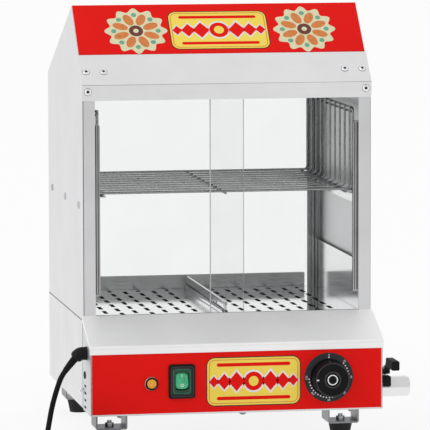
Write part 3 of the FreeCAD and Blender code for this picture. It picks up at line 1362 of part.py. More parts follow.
def make_cord_gland():
    turn_down = math.radians(value("gland_turn"))
    bend = value("gland_bend")
    face = vector(f"-{BOX_HALF}", "-gland_setback", GLAND_Z)
    outward = FreeCAD.Vector(-1, 0, 0)
    flange = Part.makeCylinder(value("gland_radius"), value("gland_flange"), face, outward)
    shank = Part.makeCylinder(value("gland_nose"), value("gland_shank + sheet"), face, outward * -1)
    start = face + outward * value("gland_flange")
    turned = [
        start + FreeCAD.Vector(-bend * math.sin(angle), 0, bend * (math.cos(angle) - 1))
        for angle in (turn_down / 2, turn_down)
    ]
    line = Part.Wire([Part.Arc(start, turned[0], turned[1]).toShape()])
    nose = tube(line, value("gland_nose"))
    keep_shape("cord_gland", flange.fuse(shank).fuse(nose))
    return turned[1], FreeCAD.Vector(-math.cos(turn_down), 0, -math.sin(turn_down))


# The cord's hand-laid points, as shares of the way from the gland to the coil across, back and down
ROUTE_SHARES = [
    (0.560, 0.007, 0.334),
    (0.712, 0.017, 0.531),
    (0.812, 0.056, 0.716),
    (0.924, 0.167, 0.893),
    (1.015, 0.389, 1),
    (1.030, 0.611, 1),
    (1, 0.789, 1),
]
# How much of a corner's shorter run its arc takes up
ARC_SHARE = 0.45
# The cord's first straight run over its radius
FIRST_RUN_SHARE = 8


def make_power_cord(start, heading):
    """The cord from the gland to the coil, along points chosen by hand."""
    radius = value("cord_radius")
    end = vector("coil_place_x - coil_radius", "coil_place_y + 2 * cord_radius", "cord_radius")
    points = [start, start + heading * FIRST_RUN_SHARE * radius]
    for across, back, down in ROUTE_SHARES:
        points.append(FreeCAD.Vector(
            start.x + (end.x - start.x) * across,
            start.y + (end.y - start.y) * back,
            start.z + (end.z - start.z) * down))
    points.append(end)
    radii = []
    for before, corner, after in zip(points, points[1:], points[2:]):
        shorter = min((corner - before).Length, (after - corner).Length)
        half_turn = (corner - before).getAngle(after - corner) / 2
        radii.append(ARC_SHARE * shorter / math.tan(half_turn))
    print("cord radii", [round(found, 1) for found in radii])
    line = bent_line(points, radii)
    shape = tube(line, radius)
    share = shape.Volume / (math.pi * radius ** 2 * line.Length)
    print("cord length", round(line.Length, 1), "volume share", round(share, 4))
    keep_shape("power_cord", shape)


def half_turn_arcs(start, end, rise):
    """Two arcs that lead half round from one point to the opposite one and up by a rise."""
    centre = (start + end) / 2
    across = start - centre
    radius = across.Length
    side = FreeCAD.Vector(0, 0, 1).cross(across).normalize()
    quarter = centre + side * math.hypot(radius, rise / 2) + FreeCAD.Vector(0, 0, rise / 2)
    first = centre + (across + side * radius) * math.sqrt(0.5)
    second = centre + (side * radius - across) * math.sqrt(0.5)
    if rise == 0:
        return [Part.Arc(start, first, quarter).toShape(), Part.Arc(quarter, second, end).toShape()]
    return climb_arcs(start, quarter, end + FreeCAD.Vector(0, 0, rise), side)


def climb_arcs(start, middle, end, heading):
    """Arcs that start and end level and meet at the middle point with one tangent."""
    edges = []
    for begin, finish in ((start, middle), (middle, end)):
        chord = finish - begin
        normal = heading.cross(chord).normalize()
        inward = normal.cross(heading).normalize()
        radius = chord.dot(chord) / (2 * chord.dot(inward))
        centre = begin + inward * radius
        bow = ((begin - centre) + (finish - centre)).normalize() * radius
        edges.append(Part.Arc(begin, centre + bow, finish).toShape())
        heading = edges[-1].tangentAt(edges[-1].LastParameter)
    return edges


def make_coil():
    """The length that lies put away: two layers of turns, in along the floor and out on top."""
    radius = value("cord_radius")
    step = value("coil_pitch") / 2
    climb = value("coil_climb")
    outer = value("coil_radius")
    start = vector("coil_place_x - coil_radius", "coil_place_y", "cord_radius")
    forward = FreeCAD.Vector(0, -1, 0)
    turns = [outer - step * number for number in range(5)]
    radii = turns + [turns[-1] - step] + turns[::-1] + [outer + step]
    place = start
    edges = [Part.LineSegment(start - forward * 2 * radius, start).toShape()]
    for number, turn_radius in enumerate(radii):
        toward = 1 if number % 2 == 0 else -1
        rise = climb if number in (len(turns), len(radii) - 1) else 0
        end = place + FreeCAD.Vector(2 * turn_radius * toward, 0, 0)
        edges += half_turn_arcs(place, end, rise)
        place = edges[-1].valueAt(edges[-1].LastParameter)
    heading = edges[-1].tangentAt(edges[-1].LastParameter)
    finish = place + heading * 2 * radius
    edges.append(Part.LineSegment(place, finish).toShape())
    line = Part.Wire(edges)
    keep_shape("cord_coil", tube(line, radius))
    report_coil(line, radius)
    return finish


def report_coil(line, radius):
    """Print the coil's length and its least gap to itself, measured on points."""
    apart = radius * math.pi
    count = int(line.Length / radius)
    places = line.discretize(Number=count)
    spacing = line.Length / (count - 1)
    skip = int(apart * 2 / spacing) + 1
    least = min(
        (places[first] - places[second]).Length
        for first in range(count) for second in range(first + skip, count))
    print("coil length", round(line.Length, 1), "least gap to itself", round(least - 2 * radius, 2))


def make_plug(start):
    """A round plug lying on its side, its cord coming in along Y."""
    plug = doc.addObject("Part::Feature", "Shape_plug")
    outline = [
        ("0", "0"),
        ("0", "cord_radius"),
        ("relief_length", "relief_radius"),
        ("relief_length + plug_length / 4", "plug_waist"),
        ("relief_length + plug_length * 3 / 4", "plug_waist"),
        ("relief_length + plug_length * 3 / 4", "plug_radius"),
        ("relief_length + plug_length", "plug_radius"),
        ("relief_length + plug_length", "0"),
    ]
    corners = [start + FreeCAD.Vector(value(across), -value(along), 0) for along, across in outline]
    face = Part.Face(Part.makePolygon(corners + corners[:1]))
    shape = face.revolve(start, FreeCAD.Vector(0, 1, 0), 360)
    front = start - FreeCAD.Vector(0, value("relief_length + plug_length"), 0)
    for side in (-1, 1):
        foot = front + FreeCAD.Vector(side * value("plug_pin_spread"), 0, 0)
        pin_shape = Part.makeCylinder(value("plug_pin_radius"), value("plug_pin_length"), foot,
                                      FreeCAD.Vector(0, -1, 0))
        shape = shape.fuse(pin_shape)
    plug.Shape = shape
    keep(plug, "plug")


# Screws

# Shelf screws along the depth, and the screws under the control box along the width
SHELF_SCREW_SHARES = (0.12, 0.5, 0.88)
UNDER_SCREW_SHARES = (-0.4, 0.015, 0.4)


def screw(place, outward, radius, height):
    """A round screw head with a soft edge, sitting on a face."""
    head = Part.makeCylinder(radius, height, place, outward)
    top = place + outward * height
    edges = [edge for edge in head.Edges if (edge.CenterOfMass - top).Length < height / 100]
    return head.makeFillet(value("screw_edge"), edges)


def make_panel_screws():
    radius = value("screw_radius")
    height = value("screw_height")
    slope = FreeCAD.Vector(0, -value("ridge_rise"), value("ridge_setback")).normalize()
    forward = FreeCAD.Vector(0, -1, 0)
    solids = []
    fascia_y, fascia_z = up_slope("fascia_screw_rise")
    for side in ("left", "right"):
        for inset in ("fascia_screw_outer", "fascia_screw_inner"):
            place = vector(on_side(side, f"({HALF} - {inset})"), fascia_y, fascia_z)
            solids.append(screw(place + slope * value("sheet"), slope, radius, height))
        header = vector(on_side(side, f"({HALF} - post_width / 2)"), "-sheet", f"{HEAD} + header_screw_rise")
        solids.append(screw(header, forward, radius, height))
        outward = FreeCAD.Vector(1 if side == "right" else -1, 0, 0)
        for share in SHELF_SCREW_SHARES:
            shelf = vector(on_side(side, HALF), f"body_depth * {share}", f"{LEDGE} - shelf_screw_drop")
            solids.append(screw(shelf, outward, radius, height))
    bolt = vector(f"-{BOX_HALF}", "-hex_setback", f"{BASE} + hex_rise")
    solids.append(screw(bolt, FreeCAD.Vector(-1, 0, 0), value("hex_radius"), value("hex_height")))
    cover = vector(f"-{BOX_HALF}", "-vent_setback", f"{BASE} + cover_rise")
    solids.append(screw(cover, FreeCAD.Vector(-1, 0, 0), value("hex_radius"), value("screw_height")))
    for share in UNDER_SCREW_SHARES:
        under = vector(f"body_width * {share}", f"{PANEL_FACE} + box_flange", BASE)
        solids.append(screw(under, FreeCAD.Vector(0, 0, -1), radius, height))
    keep_shape("panel_screws", Part.makeCompound(solids))


for foot_place in FOOT_PLACES:
    make_foot(*foot_place)
    make_strap(*foot_place)
make_foot_bolts()
make_base_body()
make_bottom_plate()
make_control_box()
make_apron()
make_control_panel()
for cabinet_side in ("left", "right"):
    make_side_panel(cabinet_side)
    make_rear_channel(cabinet_side)
    make_door(cabinet_side)
    make_tray(cabinet_side)
    make_side_liner(cabinet_side)
    make_shelf_rail(cabinet_side)
make_roof()
make_front_header()
make_sign_plate()
make_rear_bottom_rail()
make_rear_glass()
make_tracks()
make_water_tank()
make_divider()
make_bun_rack()
make_lamp()
make_switch()
make_rocker()
make_thermostat()
make_heating_element()
make_level_probe()
make_thermostat_bulb()
make_drain_pipe()
make_valve()
make_power_cord(*make_cord_gland())
make_plug(make_coil())
make_panel_screws()
doc.recompute()

for item in doc.Objects:
    if "Invalid" in item.State or "Error" in item.State:
        raise RuntimeError(f"{item.Label} did not build: {item.State}")
for item in parts:
    if item.Shape.isNull() or not item.Shape.isValid() or item.Shape.Volume <= 0:
        raise RuntimeError(f"{item.Label} has no valid solid")

os.makedirs("parts", exist_ok=True)
for item in parts:
    item.Shape.exportStep(f"parts/{item.Label}.step")
print(len(parts), "sub-parts written")
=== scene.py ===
# %% [markdown]
# # A hot dog steamer, dressed in its finishes
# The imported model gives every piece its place, so this file builds on it and never moves it.
# Blender works in metres; the drawings of this cabinet are in millimetres from the middle of its
# front plane, and `spot` turns such a place into Blender's frame.

# %% Load the cabinet
import math
import bmesh
import bpy
from mathutils import Matrix, Vector


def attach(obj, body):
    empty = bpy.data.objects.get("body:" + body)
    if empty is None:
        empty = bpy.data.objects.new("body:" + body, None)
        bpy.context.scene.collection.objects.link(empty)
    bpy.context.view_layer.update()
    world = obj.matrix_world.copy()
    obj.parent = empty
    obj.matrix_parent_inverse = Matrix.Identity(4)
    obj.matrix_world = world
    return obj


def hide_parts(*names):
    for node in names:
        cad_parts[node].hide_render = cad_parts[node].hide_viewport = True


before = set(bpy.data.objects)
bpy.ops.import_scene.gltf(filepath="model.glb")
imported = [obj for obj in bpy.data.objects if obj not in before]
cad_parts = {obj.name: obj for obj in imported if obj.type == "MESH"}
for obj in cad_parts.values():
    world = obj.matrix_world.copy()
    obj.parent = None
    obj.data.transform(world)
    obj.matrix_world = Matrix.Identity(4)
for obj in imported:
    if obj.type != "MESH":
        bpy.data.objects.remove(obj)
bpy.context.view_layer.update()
MM = 0.001
SHIFT = Vector((-18.705, -115.5, 0))
RIGHT, UP = Vector((1, 0, 0)), Vector((0, 0, 1))


def spot(x, y, z):
    """A place on the cabinet, given in millimetres, in Blender's metres."""
    return (Vector((x, y, z)) + SHIFT) * MM


def placed(name, data):
    """A new object in the scene, left at the origin."""
    made = bpy.data.objects.new(name, data)
    bpy.context.scene.collection.objects.link(made)
    return made


print("pieces loaded:", len(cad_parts))

# %% [markdown]
# ## The camera
# The steamer was seen from a little to its left and slightly above, from far away with a long
# lens. A turn and a tilt give the camera's axes directly, which is steadier than aiming it by a
# constraint.

# %% Place the camera
YAW, DIP, ROLL = math.radians(10.20), math.radians(5.81), math.radians(-0.12)
FOCAL_DOTS, FRAME_DOTS, SENSOR = 4057, 430, 36


def axes_matrix(x_axis, y_axis, z_axis, origin):
    """A matrix whose columns are three axes and an origin."""
    return Matrix((*zip(x_axis, y_axis, z_axis, origin), (0, 0, 0, 1)))


ahead = Vector((math.sin(YAW) * math.cos(DIP), math.cos(YAW) * math.cos(DIP), -math.sin(DIP)))
level_right = Vector((math.cos(YAW), -math.sin(YAW), 0))
level_up = level_right.cross(ahead)
camera_right = level_right * math.cos(ROLL) + level_up * math.sin(ROLL)
camera_up = level_up * math.cos(ROLL) - level_right * math.sin(ROLL)
camera_place = Vector((-0.96471, -5.2795, 0.8317))
camera_data = bpy.data.cameras.new("shop_camera")
camera_data.lens = FOCAL_DOTS / FRAME_DOTS * SENSOR
camera_data.sensor_width = SENSOR
camera_data.clip_end = 200
camera = placed("shop_camera", camera_data)
camera.matrix_world = axes_matrix(camera_right, camera_up, -ahead, camera_place)
bpy.context.scene.camera = camera
print("camera at", [round(v, 3) for v in camera_place])

# %% [markdown]
# ## The mains cord
# A rubber cord leaves its gland, drops to the counter and runs to a neat coil. One smooth spline
# follows the route, so it bends as rubber does. Twelve half turns in two layers hold the length
# that is put away.

# %% Lay the cord's middle line
CORD_RADIUS = 3.5
cord_start = Vector((-203.388, -33, 122.422))
route = [cord_start] + [Vector(point) for point in (
    (-222.124, -33, 101.614), (-229.491, -33.63, 82.702), (-236.576, -34.53, 59.274),
    (-241.237, -38.04, 37.274), (-246.457, -48.03, 16.224), (-250.699, -68.01, CORD_RADIUS),
    (-251.398, -87.99, CORD_RADIUS), (-250, -104.01, CORD_RADIUS), (-250, -123, CORD_RADIUS))]
STEPS, COIL_Y, PLUG_Y, CORNER_PULL = 7, -130, -137, 0.9751
WIDEST, TURN_STEP, LAST_TURN, LAYER_TURNS, LAYER_RISE = 48.5, 3.9, 52.4, 6, 7.5
inward, outward = range(LAYER_TURNS), range(LAYER_TURNS - 2, -1, -1)
turn_radii = [WIDEST - TURN_STEP * turn for turn in (*inward, *outward)] + [LAST_TURN]
edge_x, height = -250.0, CORD_RADIUS
for number, turn_radius in enumerate(turn_radii):
    toward = 1 if number % 2 == 0 else -1
    climb = LAYER_RISE if number % LAYER_TURNS == LAYER_TURNS - 1 else 0
    middle_x = edge_x + toward * turn_radius
    reach = turn_radius / CORNER_PULL
    for step in range(STEPS):
        share = (step + 0.5) / STEPS
        angle = math.pi * (share + (1 if toward > 0 else 0))
        lift = climb * (1 - math.cos(math.pi * share)) / 2
        route.append(Vector((middle_x + reach * math.cos(angle),
                             COIL_Y + reach * math.sin(angle), height + lift)))
    edge_x = middle_x + toward * turn_radius
    height += climb
route += [Vector((edge_x, COIL_Y, height)), Vector((edge_x, PLUG_Y, height))]


def round_curve(name, kind, points, radius, resolution):
    """A round capped curve through points in metres, and its spline."""
    data = bpy.data.curves.new(name, "CURVE")
    data.dimensions = "3D"
    data.bevel_depth = radius
    data.bevel_resolution = resolution
    data.use_fill_caps = True
    spline = data.splines.new(kind)
    spline.points.add(len(points) - 1)
    for held, point in zip(spline.points, points):
        held.co = (*point, 1)
    return data, spline


cord_data, cord_spline = round_curve("mains_cord", "NURBS", [spot(*point) for point in route],
                                     CORD_RADIUS * MM, 4)
cord_spline.order_u = 3
cord_spline.use_endpoint_u = True
cord_spline.resolution_u = 6
mains_cord = placed("mains_cord", cord_data)
print("cord points:", len(route))

# %% [markdown]
# ## Finding the cord's own line
# Pieces on the cord have to follow the smooth spline and not its control points. A copy of the
# curve with no thickness turns into a chain of vertices that lie on it.

# %% Read points along the cord
def mesh_of(thing):
    """The mesh that a curve or a text works out to."""
    bpy.context.view_layer.update()
    graph = bpy.context.evaluated_depsgraph_get()
    return bpy.data.meshes.new_from_object(thing.evaluated_get(graph))


bare_data = mains_cord.data.copy()
bare_data.bevel_depth = 0
bare = placed("bare_line", bare_data)
cord_line = [vertex.co.copy() for vertex in mesh_of(bare).vertices]
bpy.data.objects.remove(bare)


def along_cord(distance):
    """The place on the cord at a distance from the gland, in metres."""
    for a, b in zip(cord_line, cord_line[1:]):
        step = (b - a).length
        if distance <= step:
            return a.lerp(b, distance / step)
        distance -= step
    return cord_line[-1]


# %% [markdown]
# ## From a mesh to a piece
# A piece is built in one bmesh and then turned into an object that rides on a body. Its place is
# in its mesh, and the object itself stays at the origin. A frame, a matrix with its Z axis out of
# a face, lets each shape be drawn flat and then set on the cabinet.

# %% Piece and frame helpers
def finished(name, made, body, material, smooth=40):
    """Turn a bmesh into a piece of the scene that rides on a body."""
    mesh = bpy.data.meshes.new(name)
    made.to_mesh(mesh)
    made.free()
    for face in mesh.polygons:
        face.use_smooth = smooth > 0
    if smooth > 0:
        mesh.set_sharp_from_angle(angle=math.radians(smooth))
    mesh.materials.append(material)
    piece = placed(name, mesh)
    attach(piece, body)
    return piece


def frame_at(origin, across, up):
    """A matrix whose X runs across, Y runs up and Z stands out of a face."""
    across, up = across.normalized(), up.normalized()
    return axes_matrix(across, up, across.cross(up), origin)


def facing(x, y, z):
    """The frame of a face that looks at the viewer, at a place in millimetres."""
    return frame_at(spot(x, y, z), RIGHT, UP)


front_face = facing(0, 0, 0)
print("front plane at", [round(v, 4) for v in front_face.translation])

# %% [markdown]
# ## Turned parts, sheets and blocks
# Most added pieces are turned like a lathe part or cut from sheet. `add_turned` spins a profile
# round an axis, `add_sheet` and `add_pierced` fill outlines and give them a thickness, and
# `add_block` softens the edges of a box. Each adds its shape to the mesh that it is given.

# %% Lathe, sheet and block helpers
def join(made, part):
    """Copy one bmesh into another."""
    mesh = bpy.data.meshes.new("passing")
    part.to_mesh(mesh)
    part.free()
    made.from_mesh(mesh)
    bpy.data.meshes.remove(mesh)


def add_turned(made, profile, matrix, steps=32):
    """Spin a profile of (radius, height) pairs in millimetres round the Z axis of the matrix."""
    part = bmesh.new()
    ring = [part.verts.new((radius * MM, 0, up * MM)) for radius, up in profile]
    edges = [part.edges.new(pair) for pair in zip(ring, ring[1:])]
    bmesh.ops.spin(part, geom=ring + edges, cent=(0, 0, 0), axis=(0, 0, 1), angle=2 * math.pi,
                   steps=steps, use_merge=True)
    bmesh.ops.remove_doubles(part, verts=part.verts, dist=1e-6)
    bmesh.ops.recalc_face_normals(part, faces=part.faces)
    bmesh.ops.transform(part, matrix=matrix, verts=part.verts)
    join(made, part)


def add_raised(made, part, faces, matrix, thickness):
    """Raise flat faces into a sheet, put it in its frame and add it to a mesh."""
    raised = bmesh.ops.extrude_face_region(part, geom=faces)
    moved = [item for item in raised["geom"] if isinstance(item, bmesh.types.BMVert)]
    bmesh.ops.translate(part, verts=moved, vec=(0, 0, thickness * MM))
    bmesh.ops.recalc_face_normals(part, faces=part.faces)
    bmesh.ops.transform(part, matrix=matrix, verts=part.verts)
    join(made, part)


def add_sheet(made, outline, matrix, thickness, low=0.0):
    """Fill an outline of (x, y) pairs in millimetres and raise it off the matrix's XY plane."""
    part = bmesh.new()
    ring = [part.verts.new((x * MM, y * MM, low * MM)) for x, y in outline]
    add_raised(made, part, [part.faces.new(ring)], matrix, thickness)


def add_pierced(made, outline, holes, matrix, thickness, low=0.0):
    """A thin sheet with holes, filled between its outlines and then thickened."""
    part = bmesh.new()
    for ring in [outline] + holes:
        verts = [part.verts.new((x * MM, y * MM, low * MM)) for x, y in ring]
        for a, b in zip(verts, verts[1:] + verts[:1]):
            part.edges.new((a, b))
    filled = bmesh.ops.triangle_fill(part, use_beauty=True, edges=part.edges[:])
    faces = [item for item in filled["geom"] if isinstance(item, bmesh.types.BMFace)]
    add_raised(made, part, faces, matrix, thickness)


def add_block(made, low, high, soft, segments=3):
    """A box between two corners on the cabinet, in millimetres, with softened edges."""
    part = bmesh.new()
    bmesh.ops.create_cube(part, size=1)
    size = [(b - a) * MM for a, b in zip(low, high)]
    bmesh.ops.scale(part, verts=part.verts, vec=size)
    bmesh.ops.bevel(part, geom=part.edges[:], offset=soft * MM, offset_type="OFFSET",
                    affect="EDGES", segments=segments, profile=0.5, material=-1)
    middle = spot(*[(a + b) / 2 for a, b in zip(low, high)])
    bmesh.ops.translate(part, verts=part.verts, vec=middle)
    join(made, part)


# %% [markdown]
# ## Outlines
# A sheet starts from the points of its outline: a circle, a rectangle with round corners or a
# diamond. They are pairs in millimetres, in the order in which they run round the shape.

# %% Outline helpers
def round_outline(x, y, radius, steps=24):
    """Points on a circle."""
    angles = [2 * math.pi * n / steps for n in range(steps)]
    return [(x + radius * math.cos(angle), y + radius * math.sin(angle)) for angle in angles]


def soft_box(left, low, right, high, radius, steps=6):
    """Points round a rectangle with round corners."""
    corners = ((right - radius, high - radius, 0), (left + radius, high - radius, 90),
               (left + radius, low + radius, 180), (right - radius, low + radius, 270))
    return [(x + radius * math.cos(math.radians(start + 90 * n / steps)),
             y + radius * math.sin(math.radians(start + 90 * n / steps)))
            for x, y, start in corners for n in range(steps + 1)]


def centred_box(x, y, half_width, half_height, radius, steps=6):
    """A rectangle with round corners, given by its middle and its half sizes."""
    return soft_box(x - half_width, y - half_height, x + half_width, y + half_height, radius, steps)


def lozenge(x, y, half_width, half_height):
    """Four points of a diamond."""
    return [(x + half_width, y), (x, y + half_height), (x - half_width, y), (x, y - half_height)]


print("points round a soft box:", len(soft_box(0, 0, 4, 2, 1)))

# %% [markdown]
# ## Effects that the finishes share
# Rolled sheet steel shows fine parallel grain and faint clouds where it was wiped. Both come from
# noise on Object coordinates, stretched along the grain. One node group gives the two masks, and
# every material sets its own values.

# %% Build the grain and smudge group
def new_group(name, inputs, outputs):
    """An empty shader group with named sockets."""
    tree = bpy.data.node_groups.new(name, "ShaderNodeTree")
    for label, kind, start in inputs:
        socket = tree.interface.new_socket(label, in_out="INPUT", socket_type=kind)
        if start is not None:
            socket.default_value = start
    for label, kind in outputs:
        tree.interface.new_socket(label, in_out="OUTPUT", socket_type=kind)
    return tree, tree.nodes.new("NodeGroupInput"), tree.nodes.new("NodeGroupOutput")


def ranged(tree, value, low, high, first=0.0, last=1.0):
    """A value's range turned into another range, clamped."""
    node = tree.nodes.new("ShaderNodeMapRange")
    for label, number in (("From Min", low), ("From Max", high), ("To Min", first),
                          ("To Max", last)):
        node.inputs[label].default_value = number
    tree.links.new(value, node.inputs["Value"])
    return node.outputs["Result"]


surface_marks, marks_in, marks_out = new_group(
    "surface_marks",
    (("Place", "NodeSocketVector", None), ("Stretch", "NodeSocketVector", (1000, 1000, 1000)),
     ("Cloud Scale", "NodeSocketFloat", 14.0)),
    (("Grain", "NodeSocketFloat"), ("Cloud", "NodeSocketFloat")))
stretched = surface_marks.nodes.new("ShaderNodeVectorMath")
stretched.operation = "MULTIPLY"
grain_noise = surface_marks.nodes.new("ShaderNodeTexNoise")
grain_noise.inputs["Scale"].default_value = 1.0
grain_noise.inputs["Detail"].default_value = 4.0
cloud_noise = surface_marks.nodes.new("ShaderNodeTexNoise")
cloud_noise.inputs["Detail"].default_value = 3.0
cloud_noise.inputs["Roughness"].default_value = 0.6
grain = ranged(surface_marks, grain_noise.outputs["Fac"], 0.3, 0.7)
cloud = ranged(surface_marks, cloud_noise.outputs["Fac"], 0.35, 0.65)
for start, end in ((marks_in.outputs["Place"], stretched.inputs[0]),
                   (marks_in.outputs["Stretch"], stretched.inputs[1]),
                   (stretched.outputs["Vector"], grain_noise.inputs["Vector"]),
                   (marks_in.outputs["Place"], cloud_noise.inputs["Vector"]),
                   (marks_in.outputs["Cloud Scale"], cloud_noise.inputs["Scale"]),
                   (grain, marks_out.inputs["Grain"]), (cloud, marks_out.inputs["Cloud"])):
    surface_marks.links.new(start, end)
print("shared group:", surface_marks.name)

# %% [markdown]
# ## One recipe for solid finishes
# Steel, paint, plastic and rubber differ in colour, gloss, grain and bump, and share their
# wiring. The recipe places the group, mixes two near colours by its masks, lets them vary the
# roughness and gives the grain a little height.

# %% The finish recipe
def mixed(tree, mask, first, second, kind="RGBA"):
    """Mix two values or colours by a mask."""
    node = tree.nodes.new("ShaderNodeMix")
    node.data_type = kind
    first_input, second_input, output = {"RGBA": (6, 7, 2), "FLOAT": (2, 3, 0)}[kind]
    tree.links.new(mask, node.inputs[0])
    for number, wanted in ((first_input, first), (second_input, second)):
        if isinstance(wanted, bpy.types.NodeSocket):
            tree.links.new(wanted, node.inputs[number])
        else:
            node.inputs[number].default_value = wanted
    return node.outputs[output]


def marked(name, clouds, stretch=(1000, 1000, 1000)):
    """A new material with the shared marks in it: material, tree, shader, grain and cloud."""
    material = bpy.data.materials.new(name)
    material.use_nodes = True
    tree = material.node_tree
    marks = tree.nodes.new("ShaderNodeGroup")
    marks.node_tree = surface_marks
    marks.inputs["Stretch"].default_value = stretch
    marks.inputs["Cloud Scale"].default_value = clouds
    place = tree.nodes.new("ShaderNodeTexCoord").outputs["Object"]
    tree.links.new(place, marks.inputs["Place"])
    shader = tree.nodes["Principled BSDF"]
    return material, tree, shader, marks.outputs["Grain"], marks.outputs["Cloud"]


def finish(name, light, dark, rough, metal=0.0, stretch=(600, 600, 600), clouds=14.0, bump=0.05,
           relief=0.0002, **plain):
    """A solid finish: two colours, roughness from and to, grain direction, bump, plain values."""
    material, tree, shader, grain, cloud = marked(name, clouds, stretch)
    middle = [(a + b) / 2 for a, b in zip(light, dark)]
    grained = mixed(tree, grain, (*middle, 1), (*light, 1))
    tree.links.new(mixed(tree, cloud, (*dark, 1), grained), shader.inputs["Base Color"])
    gloss = mixed(tree, cloud, rough[0], rough[1], "FLOAT")
    streaked = mixed(tree, grain, gloss, rough[1] * 1.15, "FLOAT")
    tree.links.new(streaked, shader.inputs["Roughness"])
    raised = tree.nodes.new("ShaderNodeBump")
    raised.inputs["Strength"].default_value = bump
    raised.inputs["Distance"].default_value = relief
    tree.links.new(grain, raised.inputs["Height"])
    tree.links.new(raised.outputs["Normal"], shader.inputs["Normal"])
    shader.inputs["Metallic"].default_value = metal
    for socket, number in plain.items():
        shader.inputs[socket.replace("_", " ")].default_value = number
    return material


# %% [markdown]
# ## Steel in several finishes
# The side panels and posts are brushed upright, the apron, header and roof across. The liners and
# trays are bright rolled sheet that mirrors what is near. The rack is nickel plated wire.

# %% Steel finishes
ACROSS, UPRIGHT, DEEP = (12, 2600, 2600), (2600, 2600, 12), (2600, 12, 2600)


def even(scale):
    """The same number three times, for a pure grey or a grain without direction."""
    return (scale, scale, scale)


def steel(name, light, dark, rough, grain, bump=0.05, tint=0.01):
    """A metal from two greys, each with a trace more blue."""
    return finish(name, (light, light, light + tint), (dark, dark, dark + tint), rough, 1.0, grain,
                  bump=bump)


side_steel = steel("side_panel_steel", 0.80, 0.75, (0.36, 0.44), UPRIGHT)
# Painted shade: the posts' steel is a darker copy of the side panels' steel.
post_shade_steel = steel("post_shade_steel", 0.76, 0.70, (0.34, 0.42), UPRIGHT)
box_steel = finish("control_box_steel", (0.74, 0.75, 0.76), (0.69, 0.70, 0.71), (0.40, 0.48), 1.0,
                   UPRIGHT)
apron_steel = finish("apron_steel", even(1.0), even(0.96), (0.40, 0.48), 0.35, ACROSS)
header_steel = steel("header_steel", 0.95, 0.90, (0.40, 0.48), ACROSS)
# Painted shade: the header's upright band is a darker copy of the header's own steel.
band_shade_steel = steel("header_band_shade_steel", 0.92, 0.86, (0.36, 0.44), ACROSS)
roof_steel = steel("roof_steel", 0.86, 0.80, (0.28, 0.36), ACROSS)
base_steel = steel("base_steel", 0.82, 0.74, (0.32, 0.42), UPRIGHT)
rail_steel = steel("rear_rail_steel", 0.53, 0.45, (0.22, 0.30), ACROSS, 0.02, 0.005)
channel_steel = steel("rear_channel_steel", 0.34, 0.24, (0.16, 0.24), UPRIGHT, tint=0.005)
divider_steel = steel("divider_steel", 0.60, 0.52, (0.14, 0.22), DEEP, 0.015)
liner_steel = steel("liner_steel", 0.86, 0.79, (0.08, 0.14), DEEP, 0.02)
tray_steel = steel("tray_steel", 0.94, 0.89, (0.05, 0.09), DEEP, 0.008)
tank_steel = finish("tank_steel", (0.22, 0.22, 0.23), (0.14, 0.14, 0.145), (0.18, 0.30), 1.0, DEEP)
track_steel = steel("track_steel", 0.66, 0.58, (0.20, 0.28), ACROSS)
pull_steel = steel("door_pull_steel", 0.46, 0.34, (0.14, 0.22), UPRIGHT, tint=0.005)
strap_steel = steel("strap_steel", 0.36, 0.20, (0.30, 0.42), UPRIGHT)
rack_nickel = steel("rack_nickel", 0.46, 0.36, (0.20, 0.26), even(60), 0.0, 0.005)
chrome = steel("chrome", 0.86, 0.80, (0.05, 0.10), even(500), 0.01, 0.02)
satin_chrome = steel("satin_chrome", 0.95, 0.90, (0.30, 0.38), even(500))
dull_chrome = finish("dull_chrome", (0.55, 0.47, 0.42), (0.42, 0.34, 0.30), (0.18, 0.26), 1.0,
                     even(500))
zinc = finish("zinc_plate", (0.60, 0.61, 0.63), (0.42, 0.43, 0.45), (0.24, 0.36), 1.0, even(700))
screw_zinc = steel("screw_zinc", 0.97, 0.93, (0.22, 0.30), even(700))
valve_nickel = steel("valve_nickel", 0.88, 0.80, (0.30, 0.40), even(700))
print("materials with the steels:", len(bpy.data.materials))

# %% [markdown]
# ## Painted reflection on bright wire
# Plated round wire mirrors a bright line along its middle and dark surroundings toward its edges.
# Here both are painted into the rack's colour by the angle to the viewer, so the wire looks round
# even where it is only a few dots wide.

# %% Paint a reflection on the wires: light middles, dark edges
def paint_reflection_by_angle(material, light, dark, low, high):
    """Paint a reflection into a finish: a light middle and dark edges, by the angle at which it is
    seen.
    """
    tree = material.node_tree
    socket = tree.nodes["Principled BSDF"].inputs["Base Color"]
    angle = tree.nodes.new("ShaderNodeLayerWeight")
    span = ranged(tree, angle.outputs["Facing"], low, high)
    shade = tree.nodes.new("ShaderNodeMix")
    shade.data_type, shade.blend_type = "RGBA", "MULTIPLY"
    shade.inputs[0].default_value = 1.0
    tree.links.new(socket.links[0].from_socket, shade.inputs[6])
    tree.links.new(mixed(tree, span, (*even(light), 1), (*even(dark), 1)), shade.inputs[7])
    tree.links.new(shade.outputs[2], socket)


# Painted reflection: the rack's colour is light along each wire's middle and dark at its edges.
paint_reflection_by_angle(rack_nickel, 1.0, 0.15, 0.3, 0.9)

# %% [markdown]
# ## Paint, plastic and rubber
# The red panels are glossy film on steel; the knob, the switch and the gland are moulded plastic
# with a very fine grain; the feet and the cord are rubber, duller and slightly dusty.

# %% Paint, plastic and rubber finishes
PRINTED = (0.46, 0.54)


def moulded(name, light, dark, rough, grain, clouds, bump, relief, **plain):
    """A finish that isn't metal, with an even grain."""
    return finish(name, light, dark, rough, 0.0, even(grain), clouds, bump, relief, **plain)


